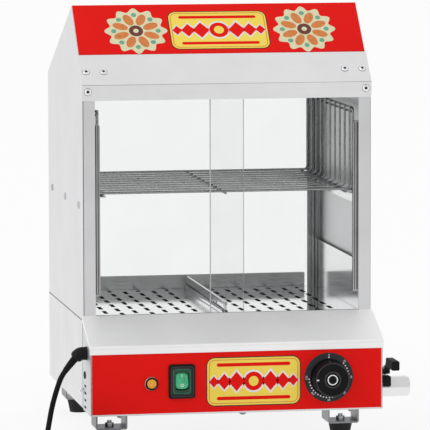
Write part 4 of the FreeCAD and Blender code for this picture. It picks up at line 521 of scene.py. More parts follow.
red_film = moulded("red_film", (0.84, 0.008, 0.005), (0.78, 0.006, 0.004), PRINTED,
                   1400, 9.0, 0.03, 0.00004, Specular_IOR_Level=0.1)
yellow_film = moulded("yellow_film", (0.95, 0.75, 0.12), (0.90, 0.69, 0.09), PRINTED,
                      1400, 9.0, 0.03, 0.00004, Specular_IOR_Level=0.25)
dark_line = finish("dark_line", (0.045, 0.035, 0.03), (0.03, 0.024, 0.022), PRINTED,
                   Specular_IOR_Level=0.2)
white_film = finish("white_film", (0.86, 0.85, 0.82), (0.80, 0.79, 0.76), (0.36, 0.44), bump=0.02)
# Painted highlight: a pale steel for the bright lines along the apron lip's bends.
painted_highlight_steel = finish("painted_highlight_steel", even(0.93), even(0.90), (0.30, 0.38), bump=0.01)
cream_film = finish("cream_film", (0.80, 0.76, 0.52), (0.70, 0.68, 0.42), PRINTED, clouds=220.0)
orange_film = finish("orange_film", (0.78, 0.27, 0.055), (0.62, 0.17, 0.035), PRINTED, clouds=260.0)
brown_film = finish("brown_film", (0.20, 0.045, 0.02), (0.11, 0.022, 0.014), PRINTED, clouds=260.0)
green_film = finish("green_film", (0.22, 0.48, 0.30), (0.12, 0.34, 0.24), PRINTED, clouds=260.0)
black_plastic = moulded("black_plastic", (0.009, 0.009, 0.010), (0.005, 0.005, 0.006), (0.34, 0.44),
                        1500, 40.0, 0.12, 0.00005, Specular_IOR_Level=0.18)
dial_plastic = moulded("dial_plastic", (0.034, 0.036, 0.038), (0.024, 0.026, 0.028), (0.42, 0.52),
                       1500, 40.0, 0.08, 0.00004, Specular_IOR_Level=0.25)
knob_plastic = moulded("knob_plastic", (0.008, 0.008, 0.009), (0.005, 0.005, 0.006), (0.20, 0.28),
                       1500, 40.0, 0.06, 0.00004, Specular_IOR_Level=0.1)
# A lighter, glossier copy of the black plastic, so raised rims show as painted highlight lines.
rim_highlight_plastic = moulded("rim_highlight_plastic", (0.030, 0.031, 0.033), (0.022, 0.023, 0.025), (0.10, 0.16),
                      1500, 40.0, 0.04, 0.00003, Specular_IOR_Level=0.6)
grip_plastic = moulded("grip_plastic", (0.009, 0.009, 0.010), (0.006, 0.006, 0.007), (0.46, 0.56),
                       1200, 40.0, 0.15, 0.00006, Specular_IOR_Level=0.15)
cord_rubber = moulded("cord_rubber", (0.007, 0.007, 0.008), (0.004, 0.004, 0.005), (0.46, 0.58),
                      900, 30.0, 0.12, 0.00008, Specular_IOR_Level=0.15)
foot_rubber = moulded("foot_rubber", (0.022, 0.022, 0.023), (0.012, 0.012, 0.013), (0.55, 0.68),
                      700, 35.0, 0.2, 0.0001, Specular_IOR_Level=0.25)
well_green = moulded("well_green", (0.012, 0.085, 0.048), (0.006, 0.045, 0.026), (0.20, 0.30),
                     900, 160.0, 0.05, 0.00003, Specular_IOR_Level=0.35)
shroud_green = moulded("shroud_green", (0.03, 0.30, 0.14), (0.01, 0.12, 0.06), (0.16, 0.24),
                       900, 180.0, 0.04, 0.00003)
rocker_green = moulded("rocker_green", (0.10, 0.62, 0.30), (0.03, 0.40, 0.18), (0.12, 0.20),
                       900, 130.0, 0.03, 0.00003, Subsurface_Weight=0.2, Subsurface_Scale=0.003)
amber = moulded("amber_lens", (0.98, 0.56, 0.07), (0.88, 0.38, 0.03), (0.08, 0.14),
                900, 420.0, 0.03, 0.00003, Subsurface_Weight=0.2, Subsurface_Scale=0.002)
glass_edge = moulded("glass_edge", (0.60, 0.62, 0.62), (0.46, 0.49, 0.49), (0.20, 0.30),
                     900, 60.0, 0.02, 0.00003)
print("materials with the films and plastics:", len(bpy.data.materials))

# %% [markdown]
# ## Glass
# The doors and the back are clear float glass. Its faces barely show, so the light goes nearly
# straight through them. Shadow rays pass as through nothing, as they nearly do in a thin pane.

# %% Glass finish
def joined(tree, factor, first, second):
    """One shader or the other, by a factor that is a number or another node's output."""
    node = tree.nodes.new("ShaderNodeMixShader")
    if isinstance(factor, bpy.types.NodeSocket):
        tree.links.new(factor, node.inputs["Fac"])
    else:
        node.inputs["Fac"].default_value = factor
    tree.links.new(first, node.inputs[1])
    tree.links.new(second, node.inputs[2])
    return node.outputs["Shader"]


def glass(name, rough):
    """Clear thin glass with faint smears, which lets shadow rays pass."""
    material, tree, shader, _, cloud = marked(name, 9.0)
    shader.inputs["Transmission Weight"].default_value = 1.0
    shader.inputs["Metallic"].default_value = 0.0
    shader.inputs["IOR"].default_value = 1.15
    clear_colour = mixed(tree, cloud, (0.925, 0.932, 0.929, 1), (0.95, 0.956, 0.954, 1))
    tree.links.new(clear_colour, shader.inputs["Base Color"])
    smeared = mixed(tree, cloud, rough[0], rough[1], "FLOAT")
    tree.links.new(smeared, shader.inputs["Roughness"])
    clear = tree.nodes.new("ShaderNodeBsdfTransparent")
    path = tree.nodes.new("ShaderNodeLightPath")
    seen = joined(tree, path.outputs["Is Shadow Ray"], shader.outputs["BSDF"],
                  clear.outputs["BSDF"])
    tree.links.new(seen, tree.nodes["Material Output"].inputs["Surface"])
    return material


door_glass = glass("door_glass", (0.0, 0.004))
back_glass = glass("back_glass", (0.0, 0.006))

# %% [markdown]
# ## Giving the cabinet its finishes
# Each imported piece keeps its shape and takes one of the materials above.

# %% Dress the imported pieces
dress = {
    side_steel: ["side_panel_left", "side_panel_right"],
    box_steel: ["control_box"],
    apron_steel: ["apron"],
    header_steel: ["front_header"],
    roof_steel: ["roof"],
    base_steel: ["base_body", "bottom_plate", "control_panel"],
    rail_steel: ["rear_bottom_rail"],
    channel_steel: ["rear_channel_left", "rear_channel_right"],
    liner_steel: ["side_liner_left", "side_liner_right", "shelf_rail_left", "shelf_rail_right"],
    tray_steel: ["tray_left", "tray_right"],
    divider_steel: ["divider"],
    tank_steel: ["water_tank"],
    track_steel: ["top_track", "bottom_track"],
    pull_steel: ["left_door_pull", "right_door_pull"],
    rack_nickel: ["bun_rack"],
    chrome: ["knob_cap"],
    dull_chrome: ["lamp_body"],
    strap_steel: ["strap_front_left", "strap_front_right", "strap_rear_left", "strap_rear_right"],
    zinc: ["foot_bolts", "thermostat_spindle", "heating_element", "thermostat_bulb"],
    screw_zinc: ["panel_screws"],
    valve_nickel: ["valve_body", "drain_pipe"],
    red_film: ["sign_plate"],
    black_plastic: ["switch_body", "thermostat_body", "level_probe", "cord_gland", "plug"],
    dial_plastic: ["thermostat_bezel"],
    knob_plastic: ["thermostat_knob"],
    grip_plastic: ["valve_grip", "valve_lever"],
    foot_rubber: ["foot_front_left", "foot_front_right", "foot_rear_left", "foot_rear_right"],
    cord_rubber: ["power_cord", "cord_coil"],
    well_green: ["switch_well"],
    rocker_green: ["switch_rocker"],
    amber: ["lamp_lens"],
    door_glass: ["left_door_glass", "right_door_glass"],
    back_glass: ["rear_glass"],
}
for material, names in dress.items():
    for name in names:
        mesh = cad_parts[name].data
        mesh.materials.clear()
        mesh.materials.append(material)
print("packed pieces dressed:", sum(map(len, dress.values())), "of", len(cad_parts))

# %% [markdown]
# ## Cord, strain relief and plug
# The gland is a moulded elbow with a round nose. A soft sleeve tapers along the cord from it, so
# the cord never kinks at the cabinet.

# %% Finish the cord and its sleeve
mains_cord.data.materials.append(cord_rubber)
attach(mains_cord, "cabinet")
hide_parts("power_cord", "cord_coil")


def tapered_tube(name, points, radii, material):
    """A round tube through points in metres, with a radius in millimetres at each."""
    data, spline = round_curve(name, "POLY", points, 1.0, 6)
    for held, radius in zip(spline.points, radii):
        held.radius = radius * MM
    line = placed("tube_line", data)
    mesh = mesh_of(line)
    bpy.data.objects.remove(line)
    for face in mesh.polygons:
        face.use_smooth = True
    mesh.set_sharp_from_angle(angle=math.radians(50))
    mesh.materials.clear()
    mesh.materials.append(material)
    piece = placed(name, mesh)
    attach(piece, "cabinet")
    return piece


GLAND_Y, GLAND_Z, ELBOW_X, ELBOW_BEND = -33, 125.4, -196.7, 9
gland_drop = math.radians(48)
gland_points = [spot(x, GLAND_Y, GLAND_Z) for x in (-191.2, -192.6, -192.7, ELBOW_X)]
gland_radii = [9.0, 9.0, 8.5, 8.6]
for step in range(1, 9):
    angle = gland_drop * step / 8
    gland_points.append(spot(ELBOW_X - ELBOW_BEND * math.sin(angle), GLAND_Y,
                             GLAND_Z - ELBOW_BEND * (1 - math.cos(angle))))
    gland_radii.append(8.6)
nose = Vector((-math.cos(gland_drop), 0, -math.sin(gland_drop)))
for reach, radius in ((1.5, 8.5), (2.9, 8.0), (4.1, 7.1), (5.0, 5.9), (5.4, 4.6)):
    gland_points.append(spot(*cord_start) + nose * reach * MM)
    gland_radii.append(radius)
gland_elbow = tapered_tube("gland_elbow", gland_points, gland_radii, black_plastic)
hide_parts("cord_gland")
SLEEVE_FROM, SLEEVE_LENGTH = 2, 24
sleeve_radii = [5.0, 5.0, 4.9, 4.8, 4.7, 4.6, 4.5, 4.35, 4.2, 4.05, 3.9, 3.7]
sleeve_points = [along_cord((SLEEVE_FROM + SLEEVE_LENGTH * n / (len(sleeve_radii) - 1)) * MM)
                 for n in range(len(sleeve_radii))]
gland_sleeve = tapered_tube("gland_sleeve", sleeve_points, sleeve_radii, cord_rubber)
print("sleeve length:", SLEEVE_LENGTH, "mm")

# %% [markdown]
# ## Red film on the front panel
# The steel panel behind the controls carries a red printed film that stops short of the edges, so
# a thin line of steel frames it. The film is one sheet with holes for the lamp, the switch and
# the dial.

# %% Cut the red film
PANEL_Y, CONTROLS_Z = -68, 90.7
LAMP_X, SWITCH_X, DIAL_X, LAMP_Z = -112.3, -73, 120, CONTROLS_Z - 2.2
FILM_THICKNESS = 0.25
panel_frame = facing(0, PANEL_Y, 0)
film = bmesh.new()
film_holes = [
    round_outline(LAMP_X, LAMP_Z, 8.2, 32),
    centred_box(SWITCH_X, CONTROLS_Z, 16.6, 21.5, 3.5),
    round_outline(DIAL_X, CONTROLS_Z, 31.6, 64),
]
film_outline = soft_box(-189.7, 49.8, 189.7, 127.3, 0.6, 2)
add_pierced(film, film_outline, film_holes, panel_frame, FILM_THICKNESS)
control_film = finished("control_film", film, "cabinet", red_film, 0)
print("film faces:", len(control_film.data.polygons))

# %% [markdown]
# ## Printed badges
# A yellow badge sits in the middle of the sign and of the panel, and a round rosette on each side
# of the sign. They are flat prints, so each colour is a very thin sheet, each on top of the one
# below.

# %% Print the badges
INK = 0.12
SIGN_MIDDLE = 90.3
slope_up = Vector((0, 95.4, 97.9)).normalized()
slope_frame = frame_at(spot(0, 0, 469.3) + slope_up.cross(RIGHT) * -1.2 * MM, RIGHT, slope_up)
badge_sheets = {material: bmesh.new()
                for material in (dark_line, yellow_film, orange_film, white_film, red_film)}


def badge(matrix, x, y, half_width, half_height, base):
    """A yellow badge with a dark rim, red bars and a row of red diamonds round a disc."""
    corner = half_height * 0.34

    def inset_box(inset):
        return centred_box(x, y, half_width - inset, half_height - inset, corner - inset)

    def printed(material, outline, layer):
        add_sheet(badge_sheets[material], outline, matrix, INK, base + layer * INK)

    printed(dark_line, inset_box(0), 0)
    printed(yellow_film, inset_box(1.3), 1)
    add_pierced(badge_sheets[orange_film], inset_box(3.4), [inset_box(4.3)], matrix, INK,
                base + 2 * INK)
    for side in (-1, 1):
        bar_y = y + side * half_height * 0.68
        printed(red_film, centred_box(x, bar_y, half_width * 0.78, half_height * 0.07,
                                      half_height * 0.069, 3), 2)
        for step, size in ((0.36, 0.34), (0.62, 0.28), (0.84, 0.20)):
            centre, reach = x + side * half_width * step, half_height * size
            printed(white_film, lozenge(centre, y, reach * 1.28, reach * 1.5), 2)
            printed(red_film, lozenge(centre, y, reach, reach * 1.17), 3)
    printed(white_film, round_outline(x, y, half_height * 0.46, 40), 2)
    printed(red_film, round_outline(x, y, half_height * 0.38, 40), 3)
    printed(yellow_film, round_outline(x, y, half_height * 0.2, 32), 4)


badge(slope_frame, 0, SIGN_MIDDLE, 66, 33, 0)
badge(panel_frame, 21, 88.7, 62, 32, FILM_THICKNESS)
for material, sheets in badge_sheets.items():
    finished("badge_" + material.name, sheets, "cabinet", material, 0)
print("badge colours:", len(badge_sheets))

# %% [markdown]
# ## Rosettes on the sign
# A scalloped cream disc, a ring of orange petals with green dots between them and a brown middle
# fill the two round places of the sign.

# %% Print the rosettes
rosette_sheets = {material: bmesh.new()
                  for material in (cream_film, orange_film, green_film, brown_film)}
ROSETTE_STRETCH, ROSETTE_SIZE = 1.06, 1.5
SCALLOPS, PETALS = 12, 8
wide, high = ROSETTE_STRETCH * ROSETTE_SIZE, ROSETTE_SIZE


def on_rosette(middle, radius, angle, beside=0.0):
    """A point of a rosette at a radius and angle, and beside that line, stretched with it."""
    return (middle + (radius * math.cos(angle) - beside * math.sin(angle)) * wide,
            SIGN_MIDDLE + (radius * math.sin(angle) + beside * math.cos(angle)) * high)


for middle in (-110, 114):
    rim = [on_rosette(middle, 24 + 2.2 * math.cos(SCALLOPS * angle), angle)
           for angle in [2 * math.pi * n / 144 for n in range(144)]]
    add_sheet(rosette_sheets[cream_film], rim, slope_frame, INK)
    for petal in range(PETALS):
        between = math.radians(45 * petal)
        turn = math.radians(45 * petal + 22.5)
        petal_rim = [on_rosette(middle, 13.6 + 6.6 * math.cos(angle), turn, 3.7 * math.sin(angle))
                     for angle in [2 * math.pi * n / 20 for n in range(20)]]
        add_sheet(rosette_sheets[orange_film], petal_rim, slope_frame, INK, INK)
        dot_x, dot_y = on_rosette(middle, 18.5, between)
        add_sheet(rosette_sheets[green_film], round_outline(dot_x, dot_y, 2.3 * high, 16),
                  slope_frame, INK, INK)
    add_sheet(rosette_sheets[brown_film], round_outline(middle, SIGN_MIDDLE, 6.2 * high, 32),
              slope_frame, INK, 2 * INK)
    add_sheet(rosette_sheets[cream_film], round_outline(middle, SIGN_MIDDLE, 2.4 * high, 20),
              slope_frame, INK, 3 * INK)
for material, sheets in rosette_sheets.items():
    finished("rosette_" + material.name, sheets, "cabinet", material, 0)
print("rosette petals:", 2 * PETALS)

# %% [markdown]
# ## Dial marks
# White dots run round the dial every few degrees from the first number to the last, and plain
# numbers stand outside them. They are printed on the bezel, which stays still while the knob
# turns.

# %% Print the dial
DOT_RING, FIRST_DOT, DOT_STEP, NUMBER_RING, NUMBER_STEP = 26.3, 47, 8.76, 29.4, 45
dial_frame = facing(DIAL_X, PANEL_Y - 1.5, CONTROLS_Z)
dots = bmesh.new()
for degrees in [0] + [FIRST_DOT + DOT_STEP * n for n in range(26)]:
    angle = math.radians(90 - degrees)
    add_sheet(dots, round_outline(DOT_RING * math.cos(angle), DOT_RING * math.sin(angle), 1.0, 12),
              dial_frame, INK)
finished("dial_dots", dots, "cabinet", white_film, 0)
# Painted shadow: a black ring on the bezel round the knob.
knob_shadow_ring = bmesh.new()
add_pierced(knob_shadow_ring, round_outline(0, 0, 24.4, 64), [round_outline(0, 0, 12, 48)], dial_frame, 0.06)
finished("dial_knob_shadow", knob_shadow_ring, "cabinet", knob_plastic, 0)


def add_word(made, text, size, x, y, turn, matrix):
    """A printed number, centred and turned on a point of the matrix's plane, in millimetres."""
    data = bpy.data.curves.new("word", "FONT")
    data.body = text
    data.size = size * MM
    data.align_x, data.align_y = "CENTER", "CENTER"
    data.extrude = INK * MM / 2
    data.resolution_u = 3
    written = placed("word", data)
    mesh = mesh_of(written)
    mesh.transform(matrix @ Matrix.Translation(Vector((x * MM, y * MM, INK * MM / 2)))
                   @ Matrix.Rotation(turn, 4, "Z"))
    made.from_mesh(mesh)
    bpy.data.objects.remove(written)
    bpy.data.meshes.remove(mesh)


numbers = bmesh.new()
for count, text in enumerate(("0", "20", "40", "60", "80", "100", "120")):
    angle = math.radians(90 - NUMBER_STEP * count)
    add_word(numbers, text, 3.7, NUMBER_RING * math.cos(angle), NUMBER_RING * math.sin(angle),
             angle - math.pi / 2, dial_frame)
dial_numbers = finished("dial_numbers", numbers, "cabinet", white_film, 0)
print("number faces:", len(dial_numbers.data.polygons))

# %% [markdown]
# ## Knob face
# The knob carries one white pointer at its rim. Its cap is a bright ring round a black disc with
# a fine ridge, all turned parts, so each is one spun profile.

# %% Finish the knob's face
KNOB_OUT, CAP_OUT = 26, 25.7
knob_frame = facing(DIAL_X, PANEL_Y - KNOB_OUT, CONTROLS_Z)
cap_frame = facing(DIAL_X, PANEL_Y - CAP_OUT, CONTROLS_Z)
pointer = bmesh.new()
add_sheet(pointer, soft_box(-21.6, -0.9, -17.9, 0.9, 0.4, 3), knob_frame, INK)
finished("knob_pointer", pointer, "knob", white_film, 0)
# Fine raised rims on the knob's face in the lighter plastic: real shape, painted highlight lines.
knob_rims = bmesh.new()
add_turned(knob_rims, [(20.9, 0), (21.0, 0.16), (21.3, 0.22), (21.6, 0.12), (21.7, 0), (20.9, 0)],
           knob_frame, 72)
add_turned(knob_rims, [(9.4, 0), (9.6, 0.2), (10.0, 0.28), (10.5, 0.16), (10.7, 0), (9.4, 0)],
           knob_frame, 56)
finished("knob_rims", knob_rims, "knob", rim_highlight_plastic, 60)
cap_disc = bmesh.new()
add_turned(cap_disc, [(5.5, 0), (5.5, 0.1), (5.2, 0.22), (3.1, 0.22), (2.9, 0.28), (2.2, 0.28),
                      (2.0, 0.22), (0, 0.22)], cap_frame, 48)
finished("cap_disc", cap_disc, "knob", knob_plastic, 30)
cap_ring = bmesh.new()
add_turned(cap_ring, [(5.4, 0), (6.9, 0), (6.9, 0.25), (6.7, 0.5), (6.3, 0.62), (5.9, 0.6),
                      (5.5, 0.35), (5.4, 0)], cap_frame, 56)
chrome_ring = finished("cap_ring", cap_ring, "knob", satin_chrome, 40)
print("cap ring faces:", len(chrome_ring.data.polygons))

# %% [markdown]
# ## The lamp
# A small amber lens with ringed facets sits in a black seat inside its thin metal rim. The rings
# scatter the light of the bulb, so the lens is spun from a stepped profile.

# %% Turn the lamp's lens and seat
LAMP_OUT = 2
lamp_frame = facing(LAMP_X, PANEL_Y - LAMP_OUT, LAMP_Z)
lens = bmesh.new()
add_turned(lens, [(0, -1.5), (6.0, -1.5), (6.0, 0.2), (5.6, 0.7), (4.9, 0.9), (4.5, 0.45),
                  (4.1, 0.9), (3.0, 1.2), (2.6, 0.75), (2.2, 1.15), (1.0, 1.4), (0, 1.4)],
           lamp_frame, 32)
lamp_jewel = finished("lamp_jewel", lens, "cabinet", amber, 20)
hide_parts("lamp_lens")
seat = bmesh.new()
add_turned(seat, [(8.4, -0.2), (8.4, 0.25), (8.1, 0.4), (6.4, 0.4), (6.0, 0.1), (6.0, -0.4),
                  (8.4, -0.4), (8.4, -0.2)], lamp_frame, 48)
finished("lamp_seat", seat, "cabinet", black_plastic, 30)
# Painted shade: two thin darker orange rings lie in the lens's grooves.
RING_HALF = 0.28
lens_groove_shade = bmesh.new()
for radius, rise in ((4.5, 0.5), (2.6, 0.8)):
    add_pierced(lens_groove_shade, round_outline(0, 0, radius + RING_HALF, 40),
                [round_outline(0, 0, radius - RING_HALF, 40)], lamp_frame, 0.1, rise)
finished("lamp_groove_shade", lens_groove_shade, "cabinet", orange_film, 0)
print("lens faces:", len(lamp_jewel.data.polygons))

# %% [markdown]
# ## The lit switch
# The switch is a black moulded frame with a raised ridge, a dark green surround with a brighter
# lip, and a bright green rocker like a small pillow. The rocker starts as a round-cornered sheet
# whose face is inset again and again, each time a little higher, until it is crowned.

# %% Model the switch's frame
SWITCH_OUT = 3
switch_frame = facing(SWITCH_X, PANEL_Y - SWITCH_OUT, CONTROLS_Z)


def ring_round(made, half_width, half_height, radius, wall, thickness, low=0.0):
    """A rectangular ring with round corners and a given wall, in the switch's own frame."""
    inner = centred_box(0, 0, half_width - wall, half_height - wall, max(radius - wall, 0.4))
    add_pierced(made, centred_box(0, 0, half_width, half_height, radius), [inner],
                switch_frame, thickness, low)


# The frame's raised ridges take the lighter plastic: real shape, painted highlight lines.
ridge = bmesh.new()
ring_round(ridge, 14.8, 19.6, 3.4, 0.9, 1.5)
ring_round(ridge, 12.9, 17.5, 3.2, 0.7, 0.8)
finished("switch_ridges", ridge, "cabinet", rim_highlight_plastic, 30)
surround = bmesh.new()
ring_round(surround, 11.7, 16.1, 3.0, 2.75, 0.9, -1.5)
add_pierced(surround, centred_box(0, 0, 9.6, 14.2, 5.2), [centred_box(0, 0, 8.95, 11.5, 5.2)],
            switch_frame, 0.5, -1.5)
finished("switch_surround", surround, "cabinet", well_green, 30)
lip = bmesh.new()
ring_round(lip, 11.5, 15.9, 2.9, 0.8, 0.35, -0.6)
green_lip = finished("switch_lip", lip, "cabinet", shroud_green, 30)
print("lip faces:", len(green_lip.data.polygons))

# %% [markdown]
# ## The rocker and its marks
# The rocker tilts on a pin behind the panel, so its frame leans by that angle. A short bar marks
# its upper half and a small ring its lower one, and both ride with it.

# %% Model the rocker
ROCKER_PIN_Y, TILT = -63.75, math.radians(10)
rocker_frame = frame_at(spot(SWITCH_X, ROCKER_PIN_Y, CONTROLS_Z), RIGHT,
                        Vector((0, math.sin(TILT), math.cos(TILT))))
pillow = bmesh.new()
add_sheet(pillow, centred_box(0, 0, 8.5, 10.7, 5.0), rocker_frame, 7.4, -2.0)
face_out = rocker_frame.to_3x3() @ UP
pillow.normal_update()
pillow.faces.ensure_lookup_table()
front = [max(pillow.faces,
             key=lambda face: face.calc_center_median().dot(face_out) + face.normal.dot(face_out))]
for inset, rise in ((0.4, 0.6), (0.8, 0.55), (1.1, 0.45), (1.4, 0.3), (1.4, 0.14)):
    bmesh.ops.inset_region(pillow, faces=front, thickness=inset * MM, depth=rise * MM,
                           use_even_offset=True)
rocker_pillow = finished("rocker_pillow", pillow, "rocker", rocker_green, 60)
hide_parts("switch_rocker")


def rocker_slope(first, second):
    """The frame of the rocker's face between two points, each in front of and above its pin."""
    bottom, top = [rocker_frame @ Vector((0, upward * MM, forward * MM))
                   for forward, upward in (first, second)]
    return frame_at((bottom + top) / 2, RIGHT, top - bottom)


rocker_marks = bmesh.new()
add_sheet(rocker_marks, centred_box(0, 0, 0.45, 2.2, 0.3, 3),
          rocker_slope((7.62, 4.2), (7.22, 8.4)), INK)
add_pierced(rocker_marks, round_outline(0, 0, 2.1), [round_outline(0, 0, 1.35)],
            rocker_slope((7.22, -8.4), (7.62, -4.2)), INK)
finished("rocker_marks", rocker_marks, "rocker", white_film, 0)
print("rocker faces:", len(rocker_pillow.data.polygons))

# %% [markdown]
# ## Screws
# Domed screws hold the sign, the header, the shelf rails and the box. Each head is spun from one
# profile with a socket in its middle; the three under the box are plain domes. A thin dark ring
# under each head is a painted shadow, and the screws on the sides take a darker zinc as painted
# shade.

# %% Set the screws
SCREW = [(0, 0), (4.5, 0), (4.5, 0.5), (4.2, 1.1), (3.5, 1.55), (2.5, 1.75), (2.0, 1.8),
         (1.85, 1.6), (1.85, 0.9), (0, 0.9)]
SOCKET = [(0, 0.6), (1.8, 0.6), (1.8, 0.94), (0, 0.94)]
DOME = [(0, 0), (4.8, 0), (4.7, 1.4), (4.0, 2.8), (2.6, 3.7), (0, 4.0)]
STUD = [(0, 4), (2.4, 4), (2.4, 5.6), (2.0, 6.0), (0, 6.0)]
HOLE_PLUG = [(0, 0), (5, 0), (5, 0.8), (4.4, 1.4), (3, 1.8), (0, 1.8)]
FORWARD = Vector((0, -1, 0))
BOX_SIDE = -191.2
SIGN_X, SIGN_UP = (-183.2, -160.4, 158.2, 181.6), 21
HEADER_X, HEADER_Y, HEADER_Z = (-183.2, 183.2), -1.25, 460.4
SHELF_X, SHELF_Y, SHELF_Z = 190, (39, 162.5, 286), 310.5
UNDER_X, UNDER_Y, UNDER_Z = (-152, 8.5, 152), -58, 47.7
screw_seats = [slope_frame @ Matrix.Translation(Vector((x * MM, SIGN_UP * MM, 0)))
               for x in SIGN_X]
screw_seats += [facing(x, HEADER_Y, HEADER_Z) for x in HEADER_X]
screw_seats += [frame_at(spot(side * SHELF_X, y, SHELF_Z), Vector((0, side, 0)), UP)
                for side in (-1, 1) for y in SHELF_Y]
under_seats = [frame_at(spot(x, UNDER_Y, UNDER_Z), RIGHT, FORWARD) for x in UNDER_X]
hex_seat, plug_seat = [frame_at(spot(BOX_SIDE, y, z), FORWARD, UP)
                       for y, z in ((-7.5, 72.7), (-19, 95.2))]
heads, shaded_side_heads, sockets = bmesh.new(), bmesh.new(), bmesh.new()
screw_shadow_rings, under_heads = bmesh.new(), bmesh.new()
for seat in screw_seats:
    # Screws on the side faces take a darker zinc than the front ones: painted shade.
    on_side = abs(seat.col[2].x) > 0.5
    add_turned(shaded_side_heads if on_side else heads, SCREW, seat, 24)
    # Painted shadow: a thin dark ring just wider than the head.
    add_sheet(screw_shadow_rings, round_outline(0, 0, 4.9, 24), seat, INK)
    add_turned(sockets, SOCKET, seat, 12)
for seat in under_seats:
    add_turned(under_heads, DOME, seat, 24)
add_sheet(heads, round_outline(0, 0, 5, 6), hex_seat, 4)
add_turned(heads, STUD, hex_seat, 20)
add_turned(sockets, HOLE_PLUG, plug_seat, 24)
screw_heads = finished("screw_heads", heads, "cabinet", screw_zinc, 40)
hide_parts("panel_screws")
finished("screw_sockets", sockets, "cabinet", black_plastic, 40)
finished("shelf_screws_painted_shade", shaded_side_heads, "cabinet", zinc, 40)
finished("under_screws", under_heads, "cabinet", strap_steel, 40)
finished("screw_shadow_rings", screw_shadow_rings, "cabinet", dark_line, 0)
print("screws set:", len(screw_seats) + len(under_seats))

# %% [markdown]
# ## The drain valve's cover and the glass edges
# A black moulded block clamps the valve's stem, and its lever is held by a small nut. The doors'
# upright glass edges are ground, so they scatter light and show as thin pale lines.

# %% Cover the valve and edge the doors
clamp = bmesh.new()
add_block(clamp, (208.7, 4.6, 66.0), (219.3, 35.4, 79.0), 1.2)
finished("valve_clamp", clamp, "cabinet", grip_plastic, 40)
stem_seat = Matrix.Translation(spot(214, 20, 87.2))
stem_nut = bmesh.new()
add_sheet(stem_nut, round_outline(0, 0, 4.2, 6), stem_seat, 2.6)
add_turned(stem_nut, [(0, 2.6), (1.9, 2.6), (1.9, 4.4), (1.6, 4.8), (0, 4.8)], stem_seat, 20)
finished("lever_nut", stem_nut, "lever", zinc, 30)
GLASS_LOW, GLASS_TOP, EDGE_X, GLASS = 164.2, 454.2, 22.7, 3.2
for side, name, y, width in ((1, "left", 8.2, 0.35), (-1, "right", 2.8, 0.9)):
    near, far = sorted((side * (EDGE_X - width), side * (EDGE_X + 0.1)))
    edge = bmesh.new()
    add_block(edge, (near, y - 0.05, GLASS_LOW), (far, y + GLASS + 0.05, GLASS_TOP), 0.3, 2)
    finished(name + "_glass_edge", edge, name + "_door", glass_edge, 30)
print("glass edge height:", GLASS_TOP - GLASS_LOW, "mm")

# %% [markdown]
# ## Slotted trays
# Steam rises through seven columns of slots in each tray. Every other column stands half a step
# further back, and a low edge beside the divider keeps the sausages in place.

# %% Pierce the trays
TRAY_INNER, TRAY_OUTER, TRAY_FRONT, TRAY_BACK, TRAY_LOW = 1.9, 182.2, 13.4, 314.1, 163.5
TRAY_GAUGE, TRAY_EDGE = 0.8, 7
COLUMNS, FIRST_COLUMN, COLUMN_STEP, ROWS, ROW_STEP = 7, 31.3, 19.9, 7, 45.6
SLOT_LENGTH, SLOT_HALF, SLOT_ROUND, SLOT_MARGIN = 30, 2.9, 2.5, 0.8


def mirrored(side, first, last):
    """Two distances from the middle plane, on the left (-1) or the right (1), in rising order."""
    return sorted((side * first, side * last))


tray_frame = Matrix.Translation(spot(0, 0, TRAY_LOW))
for side, name in ((-1, "left"), (1, "right")):
    slots = []
    for column in range(COLUMNS):
        x, shifted = side * (FIRST_COLUMN + COLUMN_STEP * column), column % 2
        for row in range(ROWS - shifted):
            start = TRAY_FRONT + SLOT_MARGIN + ROW_STEP * (row + shifted / 2)
            end = min(start + SLOT_LENGTH, TRAY_BACK - SLOT_MARGIN)
            slots.append(soft_box(x - SLOT_HALF, start, x + SLOT_HALF, end, SLOT_ROUND, 4))
    sheet = bmesh.new()
    near, far = mirrored(side, TRAY_INNER, TRAY_OUTER)
    add_pierced(sheet, soft_box(near, TRAY_FRONT, far, TRAY_BACK, 0.4, 2), slots, tray_frame,
                TRAY_GAUGE)
    near, far = mirrored(side, TRAY_INNER, TRAY_INNER + TRAY_GAUGE)
    add_block(sheet, (near, TRAY_FRONT, TRAY_LOW + TRAY_GAUGE / 2),
              (far, TRAY_BACK, TRAY_LOW + TRAY_EDGE), 0.2, 2)
    slotted = finished(name + "_slotted_tray", sheet, name + "_tray", tray_steel, 30)
    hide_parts("tray_" + name)
    print(name, "tray slots:", len(slots))

# %% [markdown]
# ## Painted shade in grooves and folds, and seams
# The door pulls and the rear channels are rolled with grooves and folds; dark strips along them are
# painted shade. Thin dark seams also mark where the side panels, the posts and the control box
# meet.

# %% Draw the painted shade in grooves and folds, and the seams
def add_strip(made, low, high):
    """A flat strip between two corners on the cabinet, in millimetres."""
    add_block(made, low, high, 0.02, 1)


